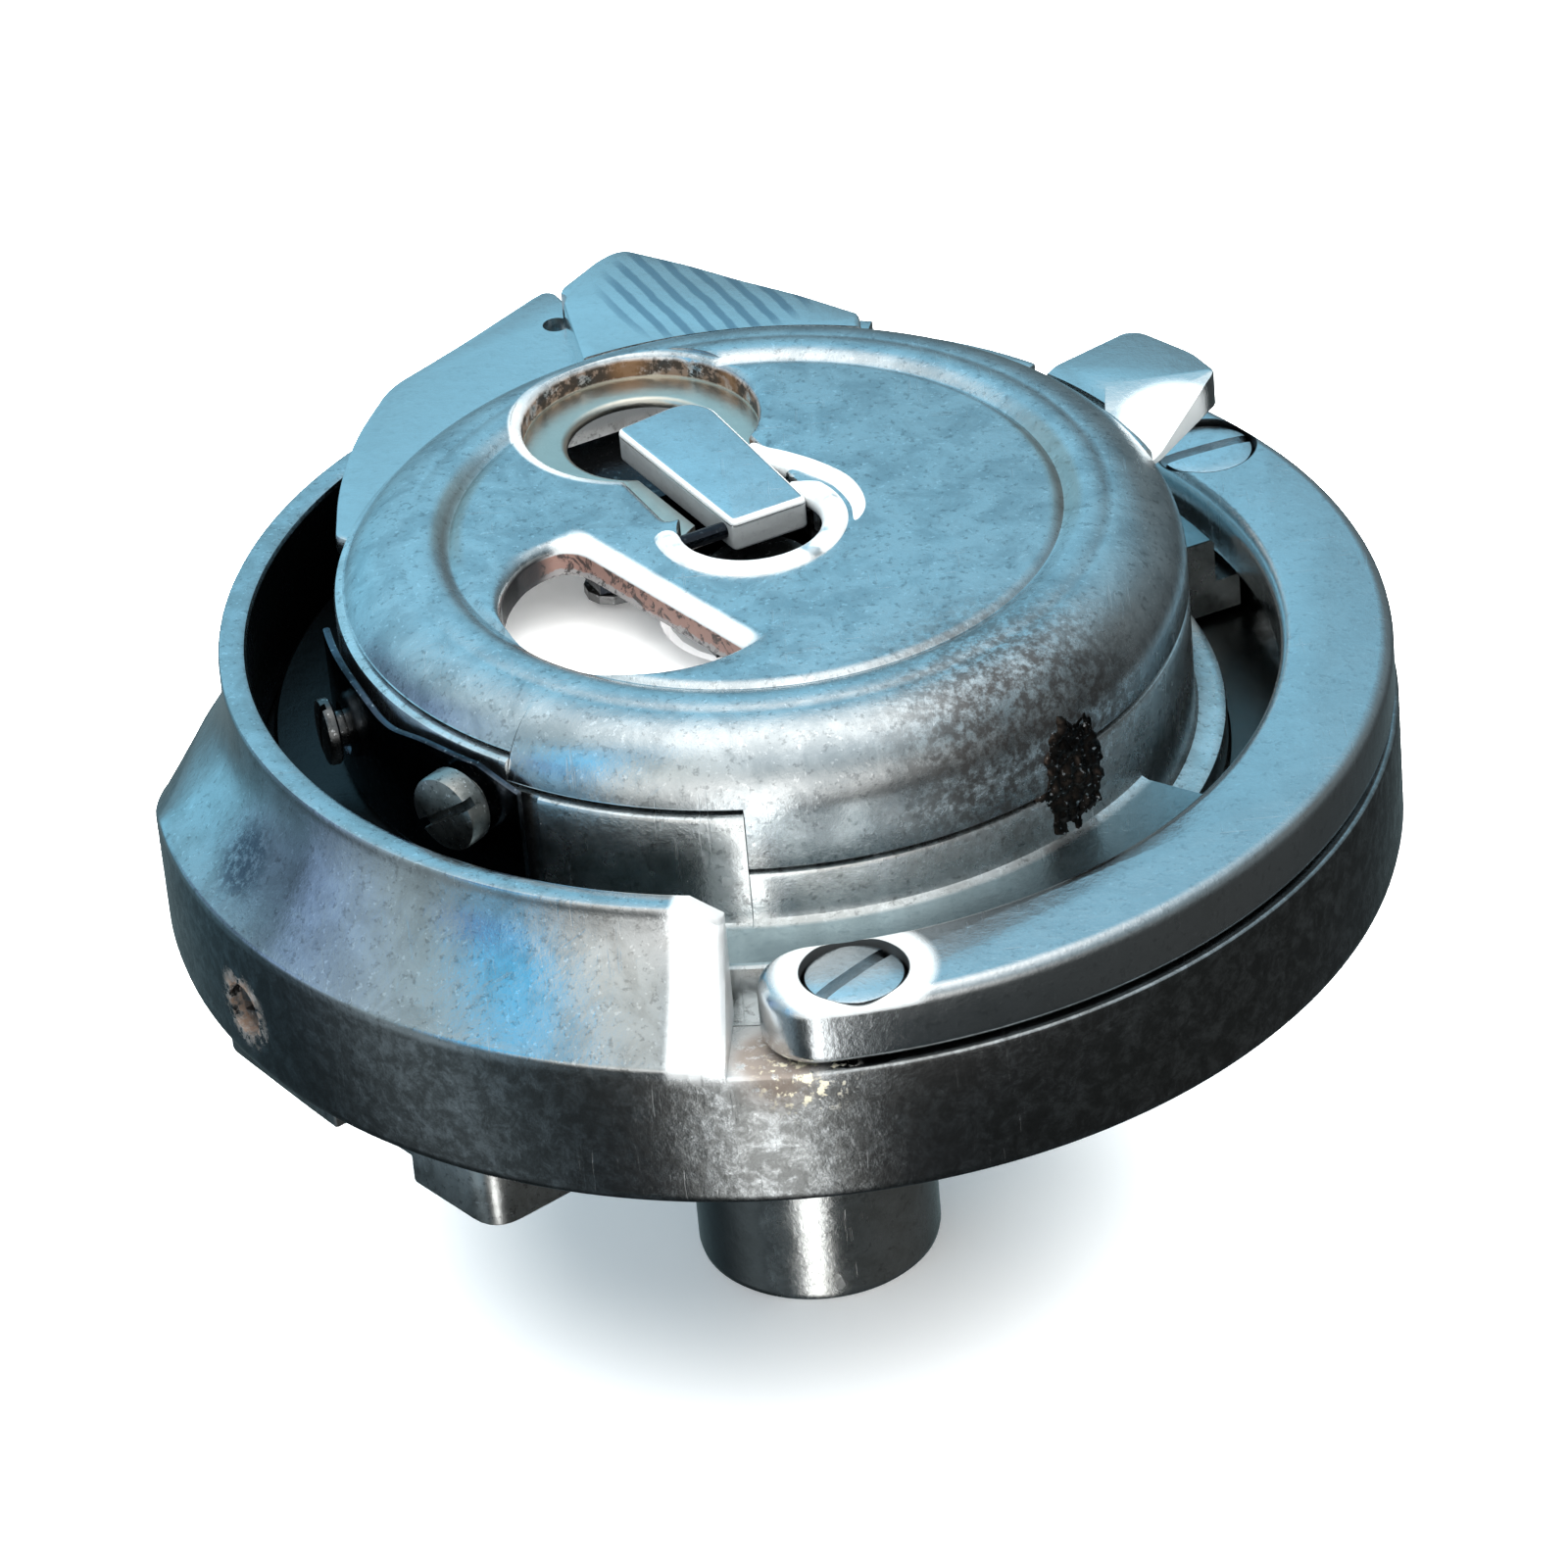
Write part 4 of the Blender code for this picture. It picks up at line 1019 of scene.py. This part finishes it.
def make_case_base():
    steps = [start for start, _ in SEAM if start != THREAD_AZ[1]]
    steps += [*THREAD_AZ, *CUTAWAY_AZ, PROUD_AZ[0]]
    base = sweep("case_base_fine", stepped_stations(case_outline, steps))
    collar = prism("lug", arc(15.6, 47.0, 71.0) + arc(14.2, 71.0, 47.0), *COLLAR_Z)
    join(base, make_shelf_lug(), make_pointed_lug(), make_stop_lug(), trim_lug(bevel(collar, 0.1, 2)))
    holes = [hole_cutter(0.5, NOTCH_C, 27.0, POINTED_Z[1] + 1.0, 24)]
    for azimuth, z in (TENSION, FIXING):
        holes.append(rod_cutter(radial_matrix(azimuth, z), 0.95, 12.8, 16.4))
    return cut(base, *holes)


def leaf_top(azimuth):
    dip = 0.45 * math.exp(-(((azimuth - 211.0) / 6.0) ** 2))
    fall = 0.11 * max(0.0, azimuth - 229.0)
    return LEAF_Z[1] - dip - fall


def make_tension_spring():
    start, end = LEAF_AZ
    inner, outer = LEAF_R
    outlines = []
    for k in range(61):
        azimuth = start + (end - start) * k / 60.0
        top = leaf_top(azimuth)
        corners = ((inner, LEAF_Z[0]), (outer, LEAF_Z[0]), (outer, top - 0.05), (outer - 0.06, top),
                   (inner + 0.06, top), (inner, top - 0.05))
        outlines.append([(*polar(r, azimuth), z) for r, z in corners])
    leaf = loft("tension_spring_fine", outlines)
    holes = [rod_cutter(radial_matrix(azimuth, z), 0.95, 14.8, 16.5) for azimuth, z in (TENSION, FIXING)]
    return cut(leaf, *holes)


# ---------------------------------------------------------------- cap

def shoulder_points(edge, count=22):
    centre_r, centre_z = CAP_R - SHOULDER, CAP_TOP - SHOULDER
    first = math.degrees(math.asin((edge - centre_z) / SHOULDER)) if edge > centre_z else 0.0
    points = [(centre_r + SHOULDER * math.cos(math.radians(first)) - 0.1, edge),
              (centre_r + SHOULDER * math.cos(math.radians(first)), edge + 0.1)]
    for k in range(count):
        angle = first + 2.5 + (86.0 - first) * k / (count - 1)
        x, z = polar(SHOULDER, angle)
        points.append((centre_r + x, centre_z + z))
    return points


def cap_outline(azimuth):
    edge = THREAD_Z[1] if in_sector(azimuth, *THREAD_AZ) else seam_height(azimuth)
    return [
        (HOLE_R, CAP_PLATE), (CAP_IN_R - 0.1, CAP_PLATE), (CAP_IN_R, edge), *shoulder_points(edge), *CREASE,
        (HOLE_R, CAP_TOP),
    ]


def window_outline(grow=0.0):
    """Half-disc window with a blunt and a pointed end; its chord side grows most."""
    normal = Vector(polar(1.0, CHORD_AZ))
    along = Vector((-normal.y, normal.x))
    centre = Vector(WINDOW_C)
    radius = WINDOW_R + 0.12 * grow
    offset = centre.dot(normal) - CHORD + grow
    foot = centre - normal * offset
    half = math.sqrt(radius ** 2 - offset ** 2)
    tip = foot + along * half
    blunt = foot - along * (half - 1.5)
    first = math.degrees(math.atan2(*reversed(tip - centre)))
    last = CHORD_AZ - 70.0
    count = 40
    points = [tip]
    for k in range(1, count + 1):
        azimuth = first + (last - first) * k / count
        points.append(centre + Vector(polar(radius + 0.5 * grow * max(0.0, (k - 28) / 12.0), azimuth)))
    end = points[-1]
    corner = foot - along * (half + 0.2 + 0.2 * grow)
    for k in range(1, 11):
        t = k / 10.0
        points.append(end * (1 - t) ** 2 + corner * (2 * t * (1 - t)) + blunt * t ** 2)
    return [tuple(point) for point in points]


def pocket_outline(grow):
    (s0, s1), (n0, n1) = POCKET_S, POCKET_N
    corners = [(s0 - 0.4 * grow, n0 - grow, 0.5), (s1, n0 - grow, 0.2), (s1, n1 + grow, 0.2),
               (s0 - 0.4 * grow, n1 + grow, 0.9)]
    return [latch_point(s, n) for s, n in fillet(corners, 5)]


def make_cap_shell():
    steps = [start for start, _ in SEAM if start != THREAD_AZ[1]]
    shell = sweep("cap_shell_fine", stepped_stations(cap_outline, [*steps, *THREAD_AZ]))
    low, high = CAP_PLATE - 1.5, RING_TOP + 1.0
    cutters = [
        rolled_cutter(lambda grow: circle(RECESS_R[1] + grow, RECESS_C, 96),
                      RECESS_Z, high, CAP_TOP, 0.4, 0.3),
        rolled_cutter(lambda grow: circle(RECESS_R[0] + grow, RECESS_C, 72),
                      low, high, RECESS_Z, 0.25, 0.25),
        rolled_cutter(pocket_outline, RECESS_Z, high, CAP_TOP, 0.35, 0.3),
        rolled_cutter(window_outline, low, high, CAP_TOP, 1.0, 0.42),
        hole_cutter(RING_R[0], RING_C, low, high, 72),
        latch_prism("cutter", SLOT_SHAPE, low, high),
    ]
    return cut(shell, *cutters)


def make_cap_ring():
    """Bright rolled rim round the hinge end of the lever."""
    radius = RING_THICK / 2.0
    flat = arc(RING_R[1] - radius + 0.1, *RING_AZ, RING_C, 3.0)
    height = RING_TOP - radius + 0.02
    last = len(flat) - 1
    radii = [radius * min(1.0, 0.35 + 0.2 * k, 0.35 + 0.1 * (last - k)) for k in range(last + 1)]
    return tube("cap_ring", [(x, y, height) for x, y in flat], radii)


def make_cap_collar():
    """Soft raised fold of the plate that runs from the recess round the ring."""
    count = 60
    flat = smooth_line(COLLAR, count)
    radii = []
    for k in range(count):
        along = 0.12 + 0.87 * k / (count - 1.0)
        radii.append(COLLAR_R * math.sin(math.pi * along) ** 0.8)
    return tube("cap_collar", [(x, y, CAP_TOP - 0.27) for x, y in flat], radii)


def crust_point(across, up):
    """Point of the crust at a share of the way from its middle to its edges."""
    azimuth = (THREAD_AZ[0] + THREAD_AZ[1]) / 2.0 + across * (THREAD_AZ[1] - THREAD_AZ[0]) * 0.9
    z = (THREAD_Z[0] + THREAD_Z[1]) / 2.0 + up * (THREAD_Z[1] - THREAD_Z[0]) * 0.86
    spot = Vector((azimuth * 0.5, z * 1.5, 3.0))
    relief = 0.20 * noise.noise(spot * 1.6) + 0.14 * noise.noise(spot * 4.0)
    away = math.hypot(across, up) + 0.22 * noise.noise(spot * 1.2)
    radius = CASE_R + 0.08 + relief - 2.2 * max(0.0, away - 0.72)
    return *polar(radius, azimuth), z


def make_thread_rust():
    """Rough oily crust that fills the thread notch and creeps over its edges."""
    bm = bmesh.new()
    columns, rows = 44, 50
    grid = []
    for i in range(columns + 1):
        points = (crust_point(2.0 * i / columns - 1.0, 2.0 * j / rows - 1.0) for j in range(rows + 1))
        grid.append([bm.verts.new(point) for point in points])
    for i in range(columns):
        for j in range(rows):
            bm.faces.new((grid[i][j], grid[i + 1][j], grid[i + 1][j + 1], grid[i][j + 1]))
    return make_object("thread_rust", bm, 180.0)


def make_latch_lever():
    outline = [latch_point(s, n) for s, n in fillet(LEVER_SHAPE, 5)]
    return bevel(prism("latch_lever_fine", outline, *LEVER_Z), 0.26, 4)


# ---------------------------------------------------------------- stage

def look_matrix():
    """Camera placement from its target, elevation and roll."""
    elevation, roll = math.radians(CAMERA_ELEVATION), math.radians(CAMERA_ROLL)
    back = Vector((0.0, -math.cos(elevation), math.sin(elevation)))
    right = Vector((1.0, 0.0, 0.0))
    up = back.cross(right)
    side = math.cos(roll) * right + math.sin(roll) * up
    top = -math.sin(roll) * right + math.cos(roll) * up
    matrix = Matrix((side, top, back)).transposed().to_4x4()
    matrix.translation = (Vector(CAMERA_TARGET) + CAMERA_DISTANCE * back) * MM
    return matrix


def make_camera():
    data = bpy.data.cameras.new("camera")
    data.lens = CAMERA_LENS
    data.sensor_width = 36.0
    data.shift_x, data.shift_y = CAMERA_SHIFT
    data.clip_start = 0.01
    camera = bpy.data.objects.new("camera", data)
    camera.matrix_world = look_matrix()
    bpy.context.scene.collection.objects.link(camera)
    bpy.context.scene.camera = camera
    return camera


def make_world():
    world = bpy.data.worlds.new("studio")
    bpy.context.scene.world = world
    world.use_nodes = True
    g = Graph(world.node_tree)
    direction = g.node("ShaderNodeSeparateXYZ")
    g.link(g.coords.outputs["Generated"], direction.inputs[0])
    x, y, z = direction.outputs
    elevation = g.math("MULTIPLY", g.math("ARCSINE", z), 180.0 / math.pi)
    azimuth = g.math("MULTIPLY", g.math("ARCTAN2", y, x), 180.0 / math.pi)
    ramp = g.node("ShaderNodeValToRGB")
    elements = ramp.color_ramp.elements
    while len(elements) < len(SKY):
        elements.new(0.5)
    for element, (height, colour) in zip(elements, SKY):
        element.position = (height + 90.0) / 180.0
        element.color = (*colour, 1.0)
    g.link(g.math("MULTIPLY_ADD", elevation, 1.0 / 180.0, 0.5), ramp.inputs[0])
    total = ramp.outputs[0]
    for spot_az, spot_el, half_az, half_el, colour in PAINT:
        turn = g.math("WRAP", g.math("SUBTRACT", azimuth, spot_az), 180.0, -180.0)
        across = g.math("POWER", g.math("ABSOLUTE", g.math("DIVIDE", turn, half_az)), 2.0)
        rise = g.math("DIVIDE", g.math("SUBTRACT", elevation, spot_el), half_el)
        away = g.math("MULTIPLY_ADD", rise, rise, across)
        total = g.mix(g.math("EXPONENT", g.math("MULTIPLY", away, -0.7)), total, colour)
    streaks = g.node("ShaderNodeCombineXYZ")
    g.link(g.math("MULTIPLY", azimuth, 0.35), streaks.inputs[0])
    g.link(g.math("MULTIPLY", elevation, 0.03), streaks.inputs[1])
    shade = g.noise(1.0, 4.0, 0.6, 0.0, streaks.outputs[0])
    total = g.mix(g.span(shade, 0.40, 0.66, 0.0, 0.35), total, STREAK)
    g.link(total, world.node_tree.nodes["Background"].inputs["Color"])


def make_stage():
    """Pale floor and backdrop, seen by the camera but not mirrored in the steel."""
    paper, shader, g = new_material("floor_paper")
    g.link(g.mix(g.noise(0.02, 3.0), (0.90, 0.90, 0.90), (0.93, 0.93, 0.93)), shader.inputs["Base Color"])
    shader.inputs["Roughness"].default_value = 0.9
    shader.inputs["Emission Color"].default_value = (1.0, 1.0, 1.0, 1.0)
    shader.inputs["Emission Strength"].default_value = 0.22
    floor = prism("floor", circle(FLOOR_R, count=96), -2.0, -0.05)
    floor.data.materials.append(paper)
    floor.visible_glossy = False
    sky, shader, g = new_material("backdrop_paper")
    shader.inputs["Base Color"].default_value = (0.0, 0.0, 0.0, 1.0)
    shader.inputs["Emission Strength"].default_value = 1.0
    tone = g.mix(g.noise(0.001, 2.0), (0.96, 0.96, 0.96), (0.98, 0.98, 0.98))
    g.link(tone, shader.inputs["Emission Color"])
    inner = FLOOR_R - 10.0
    outline = [(inner, -1.0), (FLOOR_R, -1.0), (FLOOR_R, BACKDROP_HIGH), (inner, BACKDROP_HIGH)]
    wall = make_ring("backdrop", outline, 7.5)
    wall.data.materials.append(sky)
    wall.visible_glossy = False
    wall.visible_diffuse = False
    wall.visible_shadow = False


def make_lights():
    data = bpy.data.lights.new("overhead", "AREA")
    data.shape = "DISK"
    data.size = LAMP_SIZE
    data.energy = LAMP_POWER
    data.color = (1.0, 0.99, 0.97)
    light = bpy.data.objects.new("overhead", data)
    light.location = LAMP_SPOT
    light.rotation_euler = (-light.location).to_track_quat("-Z", "Y").to_euler()
    light.visible_glossy = False
    bpy.context.scene.collection.objects.link(light)


# ---------------------------------------------------------------- assembly

def make_materials():
    # Cap: stains and rust, with painted highlights round the latch recess and on the window's roll, and a
    # painted shadow at the window's left end.
    cap_stains_and_light = (
        (recess_shelf, (0.74, 0.68, 0.58), 0.85, 0.34), (latch_edge_highlight, HIGHLIGHT_WHITE, 0.55, 0.62),
        (recess_rust, RUST, 0.9, 0.7), (recess_oil, (0.02, 0.016, 0.012), 0.9, 0.5),
        (recess_orange, (0.15, 0.08, 0.035), 0.8, 0.7), (window_roll_highlight, HIGHLIGHT_WHITE, 0.9, 0.62),
        (window_rust, (0.17, 0.085, 0.064), 0.95, 0.65), (window_grey, (0.20, 0.20, 0.20), 0.9, 0.7),
        (window_cracks, (0.015, 0.012, 0.012), 0.9, 0.6), (window_shadow, OIL_AND_SHADE, 0.95, 0.5),
        (brown_haze, (0.11, 0.085, 0.075), 0.85, 0.45), (brown_crease, (0.42, 0.30, 0.20), 0.45, 0.4),
    )
    # Gib: painted highlight round the front screw, black in the screw sinks.
    gib_highlight_and_sinks = ((screw_halo_highlight, (0.34, 0.37, 0.37), 0.7, 0.62), (sink_black, OIL_AND_SHADE, 0.9, 0.4))
    # Hook: stains and oil, with painted shade in the left cavity, painted glare on the wall's front flat, a
    # painted reflection on the low wall and pale highlights painted by the gib.
    hook_stains_and_light = (
        (cavity_oil_and_shade, (0.06, 0.085, 0.088), 0.95, 0.28), (floor_oil_and_shade, OIL_AND_SHADE_BLACK, 0.7, 0.35),
        (cone_patch, (0.08, 0.10, 0.14), 0.85, 0.4), (low_wall_grime, (0.11, 0.11, 0.105), 0.85, 0.26),
        (facet_glare, (0.95, 0.96, 0.96), 0.9, 0.3), (facet_glare, HIGHLIGHT_WHITE, 0.3, 0.62),
        (plug_rust, (0.12, 0.065, 0.035), 0.85, 0.7), (low_wall_rust_and_reflection, (0.10, 0.07, 0.05), 0.85, 0.65),
        (dried_oil_and_highlight, (0.50, 0.46, 0.34), 0.9, 0.7),
    )
    # Case: stains and tool marks, with a painted reflection on the flange, a painted highlight on the stop
    # lug and painted shade under the leaf spring.
    case_stains_and_light = (
        (lug_top, (0.66, 0.70, 0.71), 0.85, 0.22), (mill_marks, (0.20, 0.29, 0.36), 0.75, 0.3),
        (brown_haze, (0.16, 0.12, 0.10), 0.5, 0.45), (flange_reflection, (0.20, 0.30, 0.33), 0.75, 0.25),
        (stop_slope_highlight, HIGHLIGHT_WHITE, 0.6, 0.62), (case_oil_and_shade, OIL_AND_SHADE_BLACK, 0.95, 0.35),
    )
    # Shaft: its left side darker.
    shaft_darkening = ((shaft_left_dark, (0.17, 0.17, 0.165), 0.85, 0.3),)
    # Lever: dull coat on its sides, painted highlight on its top bevel.
    lever_coat_and_highlight = ((lever_side, (0.06, 0.065, 0.065), 0.6, 0.62), (lever_edge_highlight, HIGHLIGHT_WHITE, 0.85, 0.62))
    # Ring and collar: pale patches painted as highlights.
    ring_highlights = ((ring_highlight_patches, (0.44, 0.46, 0.46), 0.6, 0.62),)
    clean, worn = (0.74, 0.78, 0.80), (0.50, 0.52, 0.53)
    table = {
        "cap": ("steel_cap", (0.66, 0.69, 0.70), (0.38, 0.42, 0.44), 0.23, 0.65, 0.42, cap_stains_and_light),
        "gib": ("steel_gib", (0.64, 0.66, 0.67), (0.48, 0.50, 0.51), 0.20, 0.3, 0.2, gib_highlight_and_sinks),
        "hook": ("steel_hook", (0.60, 0.62, 0.63), (0.34, 0.34, 0.33), 0.15, 0.5, 0.4, hook_stains_and_light),
        "case": ("steel_case", (0.84, 0.86, 0.86), (0.54, 0.55, 0.54), 0.26, 0.6, 0.5, case_stains_and_light),
        "wall": ("steel_bar", (0.72, 0.72, 0.70), (0.34, 0.33, 0.31), 0.34, 0.7, 0.5),
        "shaft": ("steel_shaft", (0.86, 0.86, 0.84), (0.52, 0.50, 0.46), 0.24, 0.5, 0.3, shaft_darkening),
        "bright": ("steel_bright", clean, worn, 0.20, 0.4, 0.2),
        "lever": ("steel_lever", clean, worn, 0.20, 0.4, 0.2, lever_coat_and_highlight),
        "polished": ("steel_polished", (0.90, 0.92, 0.92), (0.62, 0.68, 0.71), 0.34, 0.5, 0.2, ring_highlights),
        "screw": ("steel_screw", (0.40, 0.40, 0.38), (0.14, 0.14, 0.13), 0.36, 0.8, 0.6),
        "dark": ("steel_dark", (0.20, 0.20, 0.20), (0.07, 0.07, 0.07), 0.34, 0.7, 0.5),
        "oiled": ("steel_oiled", (0.030, 0.034, 0.042), OIL_AND_SHADE, 0.16, 0.6, 0.1),
        "leaf": ("steel_leaf", (0.10, 0.12, 0.15), OIL_AND_SHADE, 0.14, 0.8, 0.3),
        "crust": ("crust", (0.045, 0.034, 0.028), (0.008, 0.008, 0.008), 0.34, 0.8, 0.5),
    }
    look = {kind: steel(*row) for kind, row in table.items()}
    look["bobbin"] = make_bobbin_metal()
    return look


def make_bobbin_metal():
    """Pale matt aluminium, with a faint glow of its own so that it reads white through the window."""
    material, shader, g = new_material("bobbin_aluminium")
    tone = g.mix(g.span(g.noise(0.8, 4.0), 0.35, 0.65), (0.95, 0.95, 0.95), (0.86, 0.86, 0.86))
    g.link(tone, shader.inputs["Base Color"])
    g.link(g.span(g.noise(2.0, 3.0), 0.3, 0.7, 0.35, 0.55), shader.inputs["Roughness"])
    shader.inputs["Metallic"].default_value = 0.25
    shader.inputs["Emission Color"].default_value = (1.0, 1.0, 1.0, 1.0)
    shader.inputs["Emission Strength"].default_value = 0.22
    return material


def place_screws(look):
    for name, azimuth, radius, slot in GIB_SCREWS:
        spot = Matrix.Translation((*polar(radius, azimuth), 0.0))
        screw = make_slotted_screw(name + "_fine", spot, (0.7, 1.72), (19.8, 24.3), (24.3, 25.4),
                                   (0.5, 0.5, slot))
        place(screw, "hook", "steel", look["bright"], name)
    plug = make_slotted_screw("hook_plug_fine", radial_matrix(*PLUG[:2]), (0.7, PLUG[2]), (19.9, 20.4),
                              (20.4, 21.9), (0.35, 0.5, 25.0))
    place(plug, "hook", "dark_steel", look["dark"], "hook_plug_screw")
    tension = make_slotted_screw("tension_screw_fine", radial_matrix(*TENSION), (0.65, 1.4),
                                 (13.5, 15.85), (15.85, 16.85), (0.35, 0.45, 35.0))
    place(tension, "tension_adjuster", "steel", look["screw"], "tension_screw")
    fixing = make_slotted_screw("spring_fixing_screw_fine", radial_matrix(*FIXING), (0.65, 1.2),
                                (13.5, 15.85), (15.85, 16.35), (0.3, 0.25, 80.0))
    place(fixing, "case", "steel", look["dark"], "spring_fixing_screw")


def place_pieces(look):
    place(make_hook_body(), "hook", "steel", look["hook"], "hook_body")
    place(make_carrier(), "hook", "dark_steel", look["wall"], "hook_carrier")
    place(make_shaft(), "hook", "steel", look["shaft"], "hook_shaft")
    place(make_gib(), "hook", "steel", look["gib"], "hook_gib")
    place(make_case_base(), "case", "dark_steel", look["case"], "case_base")
    place(make_thread_rust(), "case", "dark_steel", look["crust"])
    place(make_tension_spring(), "case", "spring_steel", look["leaf"], "tension_spring")
    place(make_cap_shell(), "cap", "steel", look["cap"], "cap_shell")
    place(make_cap_ring(), "cap", "steel", look["polished"])
    place(make_cap_collar(), "cap", "steel", look["polished"])
    place(make_latch_lever(), "lever", "steel", look["lever"], "latch_lever")
    carried = {
        "centre_post": "dark", "bobbin_brake_spring": "oiled", "bobbin_core": "bobbin",
        "bobbin_flange_lower": "bobbin", "bobbin_flange_upper": "bobbin", "latch_pin": "oiled",
        "latch_slide": "oiled", "slide_keeper": "oiled", "keeper_rivet_1": "dark", "keeper_rivet_2": "dark",
        "latch_spring": "dark",
    }
    for name, kind in carried.items():
        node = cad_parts[name]
        node.data.materials.clear()
        node.data.materials.append(look[kind])


def main():
    make_camera()
    make_world()
    make_stage()
    make_lights()
    look = make_materials()
    place_pieces(look)
    place_screws(look)
    bpy.context.scene.view_settings.view_transform = "Standard"


main()
